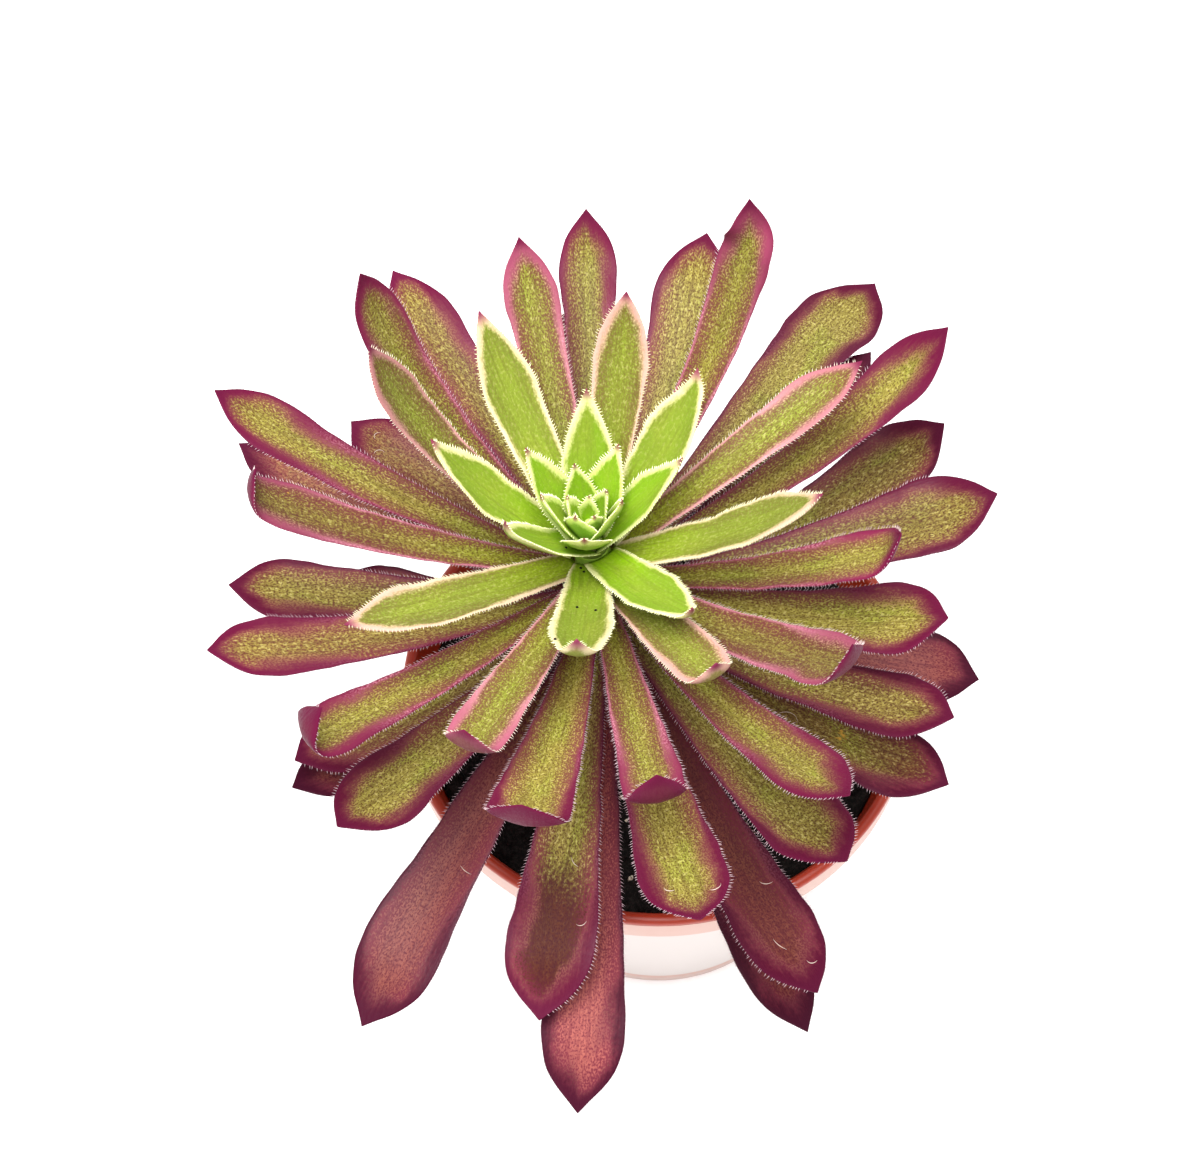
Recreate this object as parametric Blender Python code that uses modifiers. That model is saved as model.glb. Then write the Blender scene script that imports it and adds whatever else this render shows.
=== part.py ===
"""Potted aeonium: a rosette of spoon-shaped leaves on a short leaning stem, standing in peat
soil in a round plastic grower's pot.

The leaves follow one rule. Leaf 0 is the smallest leaf that stands free of the bud, and every
older leaf is set a golden angle further round the stem and a little lower down. Length, width
and pitch grow along the spiral, and a few named traits bend single leaves away from the rule.
"""

import math
from collections import namedtuple

import bmesh
import bpy
import numpy as np
from mathutils import Matrix, Vector, noise

# --- Driving dimensions, in metres and degrees -------------------------------------------

POT_HEIGHT = 0.080
POT_RIM_RADIUS = 0.0525
POT_BASE_RADIUS = 0.0355
POT_WALL = 0.0013
COLLAR_HEIGHT = 0.0085
COLLAR_STEP = 0.0012
LIP_WIDTH = 0.0024
LIP_DEPTH = 0.0022
DRAIN_HOLES = 8
DRAIN_RADIUS = 0.0035
DRAIN_CIRCLE = 0.025
DRAIN_SIDES = 16
POT_SEGMENTS = 56

GAP = 0.0003
SOIL_TOP = 0.0710
SOIL_RELIEF = 0.0016
SOIL_SEGMENTS = 48

STEM_FOOT = (-0.0058, 0.0011, 0.0585)
STEM_TOP = (-0.0121, 0.0000, 0.1325)
STEM_FOOT_RADIUS = 0.0046
STEM_TOP_RADIUS = 0.0033
STEM_SIDES = 14

GOLDEN_ANGLE = 137.5
FIRST_AZIMUTH = 58.0
YOUNGEST = -9
FIRST_LEAF = 6
LAST_LEAF = 61
SHED_LEAVES = (57, 60)
LEAF_ROWS = 10
LEAF_COLUMNS = 4
BUD_LEAF_ROWS = 7
TIP_THICKNESS = 0.00065

# The rule of growth: values at these places along the spiral, with straight lines between.
SPIRAL = (-9, -4, 0, 4, 9, 16, 24, 34, 58)
LENGTH = (0.006, 0.012, 0.021, 0.034, 0.044, 0.060, 0.070, 0.077, 0.082)
WIDTH = (0.0036, 0.0062, 0.0080, 0.0096, 0.0104, 0.0100, 0.0108, 0.0128, 0.0146)
THICKNESS = (0.0008, 0.0009, 0.0010, 0.0011, 0.0013, 0.0016, 0.0018, 0.0020, 0.0022)
BASE_PITCH = (84, 72, 60, 48, 38, 30, 18, 6, -2)
TIP_PITCH = (84, 78, 72, 68, 60, 50, 48, 34, 10)
WIDEST_AT = (0.42, 0.42, 0.44, 0.48, 0.62, 0.78, 0.82, 0.82, 0.82)
BASE_SHARE = (0.90, 0.88, 0.84, 0.82, 0.66, 0.44, 0.28, 0.20, 0.18)
BLUNTNESS = (1.5, 1.5, 1.5, 1.5, 1.7, 2.1, 2.4, 2.6, 2.6)
NECK_SHARE = (0.42, 0.42, 0.42, 0.42, 0.46, 0.60, 0.85, 1.00, 1.00)
TOP_HEIGHT = 0.1360
HEIGHT_STEP = 0.00055
BUD_HEIGHT_STEP = 0.00020

NECK_LENGTH = 0.12
CHANNEL = 0.10
CURL_FROM = 0.85
CURL_TO = 0.94

Trait = namedtuple(
    "Trait",
    "swing lift stretch broad droop bend twist curl hook blunt",
    defaults=(0, 0, 1, 1, 0, 0, 0, 0, 0, 1),
)

# Leaves that stray from the rule: swing and bend turn a leaf sideways, lift and droop change
# its pitch, curl and hook turn the end of its blade up and sideways, and blunt squares it.
TRAITS = {
    -1: Trait(stretch=0.9),
    0: Trait(swing=-5, stretch=0.9),
    1: Trait(swing=-10, lift=-4),
    2: Trait(swing=7, stretch=0.8),
    3: Trait(droop=-5, stretch=0.9),
    4: Trait(curl=12),
    5: Trait(lift=5, stretch=0.8),
    6: Trait(swing=-10, lift=-12, droop=-10, curl=25),
    7: Trait(droop=5, stretch=0.95),
    8: Trait(swing=5, stretch=0.87, hook=30),
    9: Trait(swing=8, lift=-5, droop=-10, curl=40, blunt=1.5),
    10: Trait(swing=2, droop=8),
    11: Trait(swing=-3, stretch=1.08),
    12: Trait(swing=10, lift=-8, droop=-12, stretch=1.05),
    13: Trait(swing=7, lift=7, droop=15, stretch=0.9),
    14: Trait(swing=5, droop=-20, stretch=0.95, curl=45, blunt=1.4),
    15: Trait(swing=5, lift=2, droop=25, stretch=1.03),
    16: Trait(swing=8, droop=-20, stretch=0.95),
    17: Trait(swing=9, lift=-5, droop=-15, curl=55, blunt=1.6),
    18: Trait(swing=3, stretch=0.93, droop=5),
    19: Trait(swing=-9, lift=-3, stretch=1.1, broad=1.15, curl=40),
    20: Trait(stretch=1.1, curl=55),
    21: Trait(swing=2, lift=9, droop=23, stretch=1.12, hook=50),
    22: Trait(swing=8, droop=-20, broad=0.95, curl=66, blunt=1.8),
    23: Trait(swing=12, lift=10, droop=25, stretch=1.05),
    24: Trait(swing=-12, stretch=0.88, curl=25),
    25: Trait(swing=6, droop=-13, stretch=1.07, curl=85, hook=-30),
    26: Trait(swing=9, stretch=0.93),
    27: Trait(swing=-2, stretch=1.1),
    28: Trait(swing=-4, stretch=1.03),
    29: Trait(swing=-6, droop=14, stretch=1.05),
    30: Trait(swing=8, lift=5, broad=1.12, curl=38, blunt=1.8),
    31: Trait(swing=7, droop=-30),
    32: Trait(swing=3, stretch=0.86, broad=1.25),
    33: Trait(swing=2, stretch=0.95),
    34: Trait(swing=9, droop=12, stretch=0.9, broad=1.15),
    35: Trait(swing=-3, droop=10, stretch=1.08, broad=1.15),
    36: Trait(swing=-4, lift=-4, droop=-20, stretch=0.74),
    37: Trait(swing=-4, stretch=0.93, broad=1.25),
    38: Trait(stretch=0.9, broad=1.1),
    39: Trait(lift=-3, stretch=0.75),
    40: Trait(swing=-16, lift=4, droop=3, broad=1.1),
    41: Trait(swing=4, droop=-5, stretch=0.84),
    42: Trait(swing=11, lift=3, droop=-39, stretch=1.17, broad=1.25),
    43: Trait(swing=-2, lift=-4, droop=-16, stretch=1.01, broad=1.15),
    44: Trait(stretch=0.8),
    45: Trait(swing=-20, lift=2, droop=7, stretch=0.88),
    46: Trait(swing=3, stretch=0.8),
    47: Trait(swing=6, stretch=0.65),
    48: Trait(swing=-4, lift=-6, droop=13, stretch=1.09),
    49: Trait(swing=-6, lift=-5, stretch=0.97, broad=0.85),
    50: Trait(swing=-1, lift=2, droop=24, stretch=0.88, broad=1.1),
    51: Trait(swing=-4, droop=-36, stretch=1.07, broad=1.08),
    52: Trait(stretch=0.6),
    53: Trait(swing=-5, droop=8, stretch=0.88),
    54: Trait(swing=-19, lift=1, stretch=0.58, broad=0.6),
    55: Trait(swing=-8, stretch=0.93, broad=0.85),
    56: Trait(swing=-10, stretch=1.16),
    58: Trait(swing=-10, lift=2, droop=-27, stretch=0.84, twist=25),
    59: Trait(swing=-8, lift=5, droop=10, stretch=0.82, broad=0.85),
    61: Trait(swing=-17, lift=-3, stretch=1.03, broad=0.85),
}

Leaf = namedtuple(
    "Leaf",
    "azimuth length width thickness base_pitch tip_pitch widest_at base_share bluntness "
    "neck_share root trait",
)


# --- The rule of the leaves --------------------------------------------------------------


def along_spiral(values, number):
    """The value that the rule of growth gives at this leaf's place on the spiral."""
    return float(np.interp(number, SPIRAL, values))


def stem_point(height):
    """The point of the stem's axis at this height."""
    share = (height - STEM_FOOT[2]) / (STEM_TOP[2] - STEM_FOOT[2])
    return np.array(STEM_FOOT) + share * (np.array(STEM_TOP) - np.array(STEM_FOOT))


def stem_radius(height):
    """The stem's radius at this height, the same above its top."""
    share = min(1.0, (height - STEM_FOOT[2]) / (STEM_TOP[2] - STEM_FOOT[2]))
    return STEM_FOOT_RADIUS + share * (STEM_TOP_RADIUS - STEM_FOOT_RADIUS)


def leaf_rule(number):
    """The leaf at this place on the spiral, with its own trait applied."""
    trait = TRAITS.get(number, Trait())
    step = HEIGHT_STEP if number > 0 else BUD_HEIGHT_STEP
    height = TOP_HEIGHT - step * number
    azimuth = math.radians(FIRST_AZIMUTH - GOLDEN_ANGLE * number + trait.swing)
    outward = np.array([math.cos(azimuth), math.sin(azimuth), 0.0])
    free = number >= FIRST_LEAF
    reach = stem_radius(height) + GAP if free else 0.4 * stem_radius(height)
    return Leaf(
        azimuth=azimuth,
        length=along_spiral(LENGTH, number) * trait.stretch,
        width=along_spiral(WIDTH, number) * trait.broad,
        thickness=along_spiral(THICKNESS, number),
        base_pitch=along_spiral(BASE_PITCH, number) + trait.lift,
        tip_pitch=along_spiral(TIP_PITCH, number) + trait.lift + trait.droop,
        widest_at=along_spiral(WIDEST_AT, number),
        base_share=along_spiral(BASE_SHARE, number),
        bluntness=along_spiral(BLUNTNESS, number) * trait.blunt,
        neck_share=along_spiral(NECK_SHARE, number),
        root=stem_point(height) + reach * outward,
        trait=trait,
    )


def past(share, start):
    """How far share lies beyond start, from 0 there to 1 at the leaf's tip."""
    return max(0.0, (share - start) / (1.0 - start))


def direction(leaf, share):
    """The leaf's heading and pitch, in radians, at this share of its length."""
    end = min(1.0, max(0.0, (share - CURL_FROM) / (CURL_TO - CURL_FROM)))
    end = end * end * (3 - 2 * end)
    turn = leaf.trait.bend * share**2 + leaf.trait.hook * end
    pitch = leaf.base_pitch + (leaf.tip_pitch - leaf.base_pitch) * share**1.3
    return leaf.azimuth + math.radians(turn), math.radians(pitch + leaf.trait.curl * end)


def tangent(heading, pitch):
    """The unit vector with this heading and pitch."""
    level = math.cos(pitch)
    return np.array([level * math.cos(heading), level * math.sin(heading), math.sin(pitch)])


def half_width(leaf, share):
    """Half the blade's width: a narrow neck, a long taper to the widest place, a pointed end."""
    if share < leaf.widest_at:
        width = leaf.base_share + (1 - leaf.base_share) * share / leaf.widest_at
    else:
        width = 1 - past(share, leaf.widest_at) ** leaf.bluntness
    neck = 1 - (1 - leaf.neck_share) * max(0.0, 1 - share / NECK_LENGTH) ** 2
    return 0.5 * leaf.width * width * neck


def leaf_frames(leaf, shares, steps=60):
    """The blade's middle point, side vector and normal at each of these shares of its length."""
    points = [leaf.root]
    for step in range(steps):
        heading, pitch = direction(leaf, (step + 0.5) / steps)
        points.append(points[-1] + leaf.length / steps * tangent(heading, pitch))
    points = np.array(points)
    places = np.linspace(0, 1, steps + 1)
    frames = []
    for share in shares:
        heading, pitch = direction(leaf, share)
        ahead = tangent(heading, pitch)
        level_side = np.array([-math.sin(heading), math.cos(heading), 0.0])
        level_up = np.cross(ahead, level_side)
        roll = math.radians(leaf.trait.twist) * share
        side = level_side * math.cos(roll) + level_up * math.sin(roll)
        middle = np.array([np.interp(share, places, points[:, axis]) for axis in range(3)])
        frames.append((middle, side, np.cross(ahead, side)))
    return frames


def row_shares(rows):
    """Shares of the leaf's length at which its rows of points stand, closer near the tip."""
    return [1 - (1 - row / rows) ** 1.4 for row in range(rows + 1)]


def blade_point(leaf, frame, share, across):
    """The point of the blade's upper face this far across, from -1 at one margin to 1."""
    middle, side, up = frame
    half = half_width(leaf, share)
    rise = CHANNEL * 2 * half * abs(across) ** 1.5
    return middle + across * half * side + rise * up


# --- Helpers for making objects ----------------------------------------------------------


def clear_scene():
    """Removes every object that the scene starts with."""
    for obj in list(bpy.data.objects):
        bpy.data.objects.remove(obj)


def new_collection(name):
    """A collection of this name in the scene."""
    collection = bpy.data.collections.new(name)
    bpy.context.scene.collection.children.link(collection)
    return collection


def new_material(name, color, roughness, specular=0.5):
    """A plain Principled material."""
    material = bpy.data.materials.new(name)
    material.use_nodes = True
    shader = material.node_tree.nodes["Principled BSDF"]
    shader.inputs["Base Color"].default_value = (*color, 1)
    shader.inputs["Roughness"].default_value = roughness
    shader.inputs["Metallic"].default_value = 0
    shader.inputs["Specular IOR Level"].default_value = specular
    return material


def add_object(name, mesh, collection, material=None):
    """An object for this mesh, in this collection."""
    obj = bpy.data.objects.new(name, mesh)
    collection.objects.link(obj)
    if material:
        mesh.materials.append(material)
    return obj


def mesh_from(name, bm):
    """The mesh of this bmesh, which is freed."""
    mesh = bpy.data.meshes.new(name)
    bm.to_mesh(mesh)
    bm.free()
    return mesh


def applied(obj):
    """The object's evaluated mesh in world space, as a mesh of its own."""
    depsgraph = bpy.context.evaluated_depsgraph_get()
    mesh = bpy.data.meshes.new_from_object(obj.evaluated_get(depsgraph))
    mesh.transform(obj.matrix_world)
    return mesh


def lathed(name, profile, segments, collection, material=None):
    """A closed body turned about Z from a profile of (radius, height) points."""
    mesh = bpy.data.meshes.new(name)
    edges = [(i, i + 1) for i in range(len(profile) - 1)]
    mesh.from_pydata([(radius, 0, height) for radius, height in profile], edges, [])
    obj = add_object(name, mesh, collection, material)
    screw = obj.modifiers.new("Turn", "SCREW")
    screw.steps = screw.render_steps = segments
    screw.use_merge_vertices = True
    screw.merge_threshold = 0.00001
    return obj


def boolean(obj, operation, operand=None, collection=None, solver="EXACT"):
    """Adds one Boolean with an object or with every object of a collection."""
    modifier = obj.modifiers.new(operation.title(), "BOOLEAN")
    modifier.operation = operation
    modifier.solver = solver
    if collection:
        modifier.operand_type = "COLLECTION"
        modifier.collection = collection
    else:
        modifier.object = operand


def keep_outer_shell(mesh):
    """Drops the loose scraps and the walls of sealed hollows that a union leaves."""
    bm = bmesh.new()
    bm.from_mesh(mesh)
    waiting = set(bm.verts)
    shells = []
    while waiting:
        shell = {waiting.pop()}
        edge_of_shell = list(shell)
        while edge_of_shell:
            vertex = edge_of_shell.pop()
            reached = {edge.other_vert(vertex) for edge in vertex.link_edges} - shell
            shell |= reached
            edge_of_shell += reached
        waiting -= shell
        shells.append(shell)
    outer = max(shells, key=len)
    loose = [vertex for vertex in bm.verts if vertex not in outer]
    bmesh.ops.delete(bm, geom=loose, context="VERTS")
    bm.to_mesh(mesh)
    bm.free()


def shade_round(mesh, angle=40):
    """Shades the mesh smooth but for its sharp edges."""
    mesh.shade_smooth()
    mesh.set_sharp_from_angle(angle=math.radians(angle))


# --- The pot and the soil ----------------------------------------------------------------


def pot_outer_radius(height):
    """The radius of the pot's tapered outer wall at this height, below the collar."""
    wall_top = POT_RIM_RADIUS - COLLAR_STEP
    return POT_BASE_RADIUS + (wall_top - POT_BASE_RADIUS) * height / POT_HEIGHT


def pot_inner_radius(height):
    """The radius of the pot's inside at this height."""
    return pot_outer_radius(height) - POT_WALL


def pot_profile():
    """The pot's section: down the outside, across the base and up the inside."""
    collar_foot = POT_HEIGHT - COLLAR_HEIGHT
    lip_foot = POT_HEIGHT - LIP_DEPTH
    lip_inside = POT_RIM_RADIUS - LIP_WIDTH
    return [
        (lip_inside + 0.25 * LIP_WIDTH, POT_HEIGHT),
        (lip_inside + 0.75 * LIP_WIDTH, POT_HEIGHT),
        (POT_RIM_RADIUS, POT_HEIGHT - 0.3 * LIP_DEPTH),
        (POT_RIM_RADIUS, lip_foot),
        (POT_RIM_RADIUS - 0.3 * COLLAR_STEP, lip_foot - 0.0003),
        (POT_RIM_RADIUS - 0.4 * COLLAR_STEP, collar_foot),
        (pot_outer_radius(collar_foot), collar_foot - 0.0008),
        (pot_outer_radius(0.0012), 0.0012),
        (pot_outer_radius(0) - 0.0010, 0),
        (0, 0),
        (0, POT_WALL),
        (pot_inner_radius(POT_WALL), POT_WALL),
        (pot_inner_radius(lip_foot), lip_foot),
        (lip_inside, POT_HEIGHT - 0.3 * LIP_DEPTH),
        (lip_inside + 0.25 * LIP_WIDTH, POT_HEIGHT),
    ]


def cylinder_cutter(name, sides, radius, depth, place, collection):
    """A cylinder about the Z axis of this placing matrix, which only cuts other objects."""
    bm = bmesh.new()
    bmesh.ops.create_cone(
        bm, cap_ends=True, segments=sides, radius1=radius, radius2=radius, depth=depth
    )
    cutter = add_object(name, mesh_from(name, bm), collection)
    cutter.matrix_basis = place
    cutter.display_type = "WIRE"
    cutter.hide_render = True
    return cutter


def build_pot(collection, cutters, material):
    """The thin-walled pot with its collar, its rolled lip and a ring of drain holes."""
    pot = lathed("pot", pot_profile(), POT_SEGMENTS, collection, material)
    shade_round(pot.data)
    for hole in range(DRAIN_HOLES):
        angle = 2 * math.pi * hole / DRAIN_HOLES
        centre = Vector((DRAIN_CIRCLE * math.cos(angle), DRAIN_CIRCLE * math.sin(angle), 0))
        cutter = cylinder_cutter(
            f"drain_cutter_{hole + 1}",
            DRAIN_SIDES,
            DRAIN_RADIUS,
            4 * POT_WALL,
            Matrix.Translation(centre),
            cutters,
        )
        boolean(pot, "DIFFERENCE", operand=cutter)


def soil_surface(x, y):
    """The height of the soil at this place: low mounds round the stem."""
    radius = math.hypot(x, y)
    coarse = noise.noise(Vector((x, y, 0.3)) / 0.011)
    fine = noise.noise(Vector((x, y, 0.7)) / 0.0045)
    mound = 0.0012 * math.exp(-((radius / 0.018) ** 2))
    return SOIL_TOP + mound + SOIL_RELIEF * (0.55 * coarse + 0.30 * fine)


def build_soil(collection, cutters, material):
    """The plug of peat that fills the pot, with a plain hole where the stem stands."""
    edge = pot_inner_radius(SOIL_TOP) - GAP
    floor = POT_WALL + GAP
    rings = [edge * share for share in (0, 0.15, 0.30, 0.45, 0.60, 0.74, 0.88, 1)]
    profile = [(radius, SOIL_TOP) for radius in rings]
    profile += [(pot_inner_radius(floor) - GAP, floor), (0, floor)]
    turned = lathed("soil_turned", profile, SOIL_SEGMENTS, collection)
    mesh = applied(turned)
    bpy.data.objects.remove(turned)
    for vertex in mesh.vertices:
        x, y, z = vertex.co
        if z > SOIL_TOP - GAP and math.hypot(x, y) < edge - GAP:
            vertex.co.z = soil_surface(x, y)
    soil = add_object("soil", mesh, collection, material)
    shade_round(soil.data)

    depth = 2 * (SOIL_TOP - STEM_FOOT[2])
    cutter = cylinder_cutter(
        "stem_hole_cutter",
        STEM_SIDES,
        STEM_FOOT_RADIUS + 2 * GAP,
        depth,
        along_stem(Vector(STEM_FOOT)) @ Matrix.Translation((0, 0, 0.5 * depth - GAP)),
        cutters,
    )
    boolean(soil, "DIFFERENCE", operand=cutter)


# --- The stem, the bud and the leaves ----------------------------------------------------


def along_stem(origin):
    """The matrix that stands a shape made along +Z on this point, leaning as the stem does."""
    axis = Vector(STEM_TOP) - Vector(STEM_FOOT)
    lean = Vector((0, 0, 1)).rotation_difference(axis).to_matrix().to_4x4()
    return Matrix.Translation(origin) @ lean


def build_stem(collection, material):
    """The woody stem, a little thinner towards the top."""
    curve = bpy.data.curves.new("stem", "CURVE")
    curve.dimensions = "3D"
    curve.bevel_depth = STEM_FOOT_RADIUS
    curve.bevel_resolution = STEM_SIDES // 2 - 2
    curve.use_fill_caps = True
    spline = curve.splines.new("POLY")
    stations = 5
    spline.points.add(stations - 1)
    for station, point in enumerate(spline.points):
        height = STEM_FOOT[2] + (STEM_TOP[2] - STEM_FOOT[2]) * station / (stations - 1)
        point.co = (*stem_point(height), 1)
        point.radius = stem_radius(height) / STEM_FOOT_RADIUS
    add_object("stem", curve, collection, material)


def leaf_body(name, number, rows, collection, material=None):
    """One leaf: a flat grid bent to the blade's upper face, given its thickness below."""
    leaf = leaf_rule(number)
    shares = row_shares(rows)
    frames = leaf_frames(leaf, shares)
    bm = bmesh.new()
    bmesh.ops.create_grid(bm, x_segments=rows, y_segments=LEAF_COLUMNS, size=1)
    thin = min(1.0, TIP_THICKNESS / leaf.thickness)
    weights = bm.verts.layers.deform.verify()
    for vertex in bm.verts:
        row = round((vertex.co.x + 1) / 2 * rows)
        across = vertex.co.y
        vertex.co = blade_point(leaf, frames[row], shares[row], across)
        fullness = (1 - abs(across) ** 1.5) * (1 - past(shares[row], 0.8) ** 2)
        vertex[weights][0] = thin + (1 - thin) * fullness
    bmesh.ops.remove_doubles(bm, verts=bm.verts, dist=0.000001)
    body = add_object(name, mesh_from(name, bm), collection, material)
    body.vertex_groups.new(name="thickness")
    body.data.shade_smooth()
    wall = body.modifiers.new("Flesh", "SOLIDIFY")
    wall.thickness = leaf.thickness
    wall.offset = -1
    wall.vertex_group = "thickness"
    return body


def build_bud(collection, cutters, material):
    """The growing tip: a blunt cone with the youngest leaves fused to it."""
    foot = stem_point(STEM_TOP[2] + GAP)
    radius = STEM_TOP_RADIUS
    profile = [
        (0, 1.8 * radius),
        (0.35 * radius, 1.7 * radius),
        (0.70 * radius, 1.3 * radius),
        (0.95 * radius, 0.65 * radius),
        (radius, 0),
        (0, 0),
    ]
    core = lathed("rosette_bud", profile, STEM_SIDES, collection, material)
    core.matrix_basis = along_stem(Vector(foot))
    young = bpy.data.collections.new("young_leaves")
    cutters.children.link(young)
    for number in range(YOUNGEST, FIRST_LEAF):
        leaf_body(f"young_leaf_{number}", number, BUD_LEAF_ROWS, young)
    boolean(core, "UNION", collection=young, solver="MANIFOLD")
    mesh = applied(core)
    keep_outer_shell(mesh)
    for obj in list(young.objects):
        bpy.data.objects.remove(obj)
    bpy.data.collections.remove(young)
    bpy.data.objects.remove(core)
    bud = add_object("rosette_bud", mesh, collection)
    shade_round(bud.data, 50)
    return bud


def leaf_color(number):
    """Green in the youngest leaves, through olive, to burgundy in the oldest."""
    ages = (FIRST_LEAF, 20, 40, LAST_LEAF)
    shades = ((0.33, 0.46, 0.10), (0.32, 0.33, 0.09), (0.28, 0.20, 0.09), (0.23, 0.05, 0.08))
    return tuple(float(np.interp(number, ages, channel)) for channel in zip(*shades))


def build_leaves(collection):
    """Every leaf that stands free of the bud, each a body of its own."""
    for number in range(FIRST_LEAF, LAST_LEAF + 1):
        if number in SHED_LEAVES:
            continue
        name = f"leaf_{number:02d}"
        material = new_material(f"{name}_flesh", leaf_color(number), 0.42)
        leaf_body(name, number, LEAF_ROWS, collection, material)


def main():
    """Builds the whole plant in its pot."""
    clear_scene()
    parts = new_collection("potted_aeonium")
    cutters = new_collection("cutters")
    cutters.hide_render = True
    terracotta = new_material("terracotta_plastic", (0.52, 0.14, 0.06), 0.45)
    peat = new_material("peat", (0.012, 0.010, 0.009), 0.95, 0.2)
    bark = new_material("stem_bark", (0.16, 0.11, 0.06), 0.80)
    bud_green = new_material("bud_flesh", (0.38, 0.52, 0.12), 0.42)
    build_pot(parts, cutters, terracotta)
    build_soil(parts, cutters, peat)
    build_stem(parts, bark)
    build_bud(parts, cutters, bud_green)
    build_leaves(parts)


if __name__ == "__main__":
    main()
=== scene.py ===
"""Looks of the potted aeonium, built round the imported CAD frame.

Every leaf is modelled again as a closed, finely meshed blade on the same growth rule as its
solid, with rounded margins, a pointed tip and a fringe of stiff hairs. The bud, the stem, the
soil with its crumbs and perlite, and the pot follow, and a plain studio stands round them.
"""

import logging
import math
import random
from dataclasses import dataclass
from enum import Enum

import bmesh
import bpy
import numpy as np
from mathutils import Matrix, Vector, noise


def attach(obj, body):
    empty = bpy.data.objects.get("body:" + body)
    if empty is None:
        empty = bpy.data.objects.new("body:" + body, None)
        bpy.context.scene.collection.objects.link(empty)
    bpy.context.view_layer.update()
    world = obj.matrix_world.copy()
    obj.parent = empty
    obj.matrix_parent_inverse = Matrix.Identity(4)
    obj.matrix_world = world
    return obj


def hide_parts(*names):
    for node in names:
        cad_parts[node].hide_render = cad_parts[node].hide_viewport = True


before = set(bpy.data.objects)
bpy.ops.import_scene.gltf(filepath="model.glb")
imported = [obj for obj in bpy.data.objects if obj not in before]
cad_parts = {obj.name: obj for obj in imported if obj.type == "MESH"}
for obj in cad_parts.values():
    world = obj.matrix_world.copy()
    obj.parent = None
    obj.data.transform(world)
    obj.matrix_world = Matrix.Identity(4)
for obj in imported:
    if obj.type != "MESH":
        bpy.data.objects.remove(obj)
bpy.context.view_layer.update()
LOG = logging.getLogger("potted_aeonium")

MM = 0.001
SEAM = 0.001 * MM
FULL_TURN = 2 * math.pi
LEAF_NUMBERS = ("age", "share", "rim", "upper", "dry", "tone", "flush", "pale")
Color = tuple[float, float, float, float]


# --- Colour, nodes and meshes ------------------------------------------------------------


def linear(code: str) -> Color:
    """Turns an sRGB hex value into a linear colour.

    Args:
        code: six hex digits after a hash sign.

    Returns:
        Red, green, blue and an alpha of one.
    """
    parts = [int(code[i : i + 2], 16) / 255 for i in (1, 3, 5)]
    curve = [p / 12.92 if p <= 0.04045 else ((p + 0.055) / 1.055) ** 2.4 for p in parts]
    return (*curve, 1.0)


class Kind(Enum):
    """A kind of shader node: its type, its settings, the order of its inputs, its output."""

    NUMBER = ("ShaderNodeAttribute", {}, (), "Fac")
    PLACE = ("ShaderNodeAttribute", {}, (), "Vector")
    POINT = ("ShaderNodeTexCoord", {}, (), "Object")
    MAPPING = ("ShaderNodeMapping", {}, ("Vector", "Scale"), "Vector")
    NOISE = ("ShaderNodeTexNoise", {}, ("Vector", "Scale", "Detail", "Roughness"), "Fac")
    STEP = ("ShaderNodeMapRange", {"interpolation_type": "SMOOTHSTEP"}, (0, 1, 2, 3, 4), 0)
    RAMP = ("ShaderNodeValToRGB", {}, (0,), 0)
    HEIGHT = ("ShaderNodeSeparateXYZ", {}, (0,), 2)
    BLEND = ("ShaderNodeMix", {"data_type": "RGBA"}, (0, 6, 7), 2)
    BLEND_NUMBER = ("ShaderNodeMix", {"data_type": "FLOAT"}, (0, 2, 3), 0)
    MULTIPLY = ("ShaderNodeMix", {"data_type": "RGBA", "blend_type": "MULTIPLY"}, (0, 6, 7), 2)
    SUM = ("ShaderNodeMath", {"operation": "MULTIPLY_ADD"}, (0, 1, 2), 0)
    PRODUCT = ("ShaderNodeMath", {"operation": "MULTIPLY"}, (0, 1), 0)
    QUOTIENT = ("ShaderNodeMath", {"operation": "DIVIDE"}, (0, 1), 0)
    BUMP = ("ShaderNodeBump", {}, ("Strength", "Distance", "Height"), 0)


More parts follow.
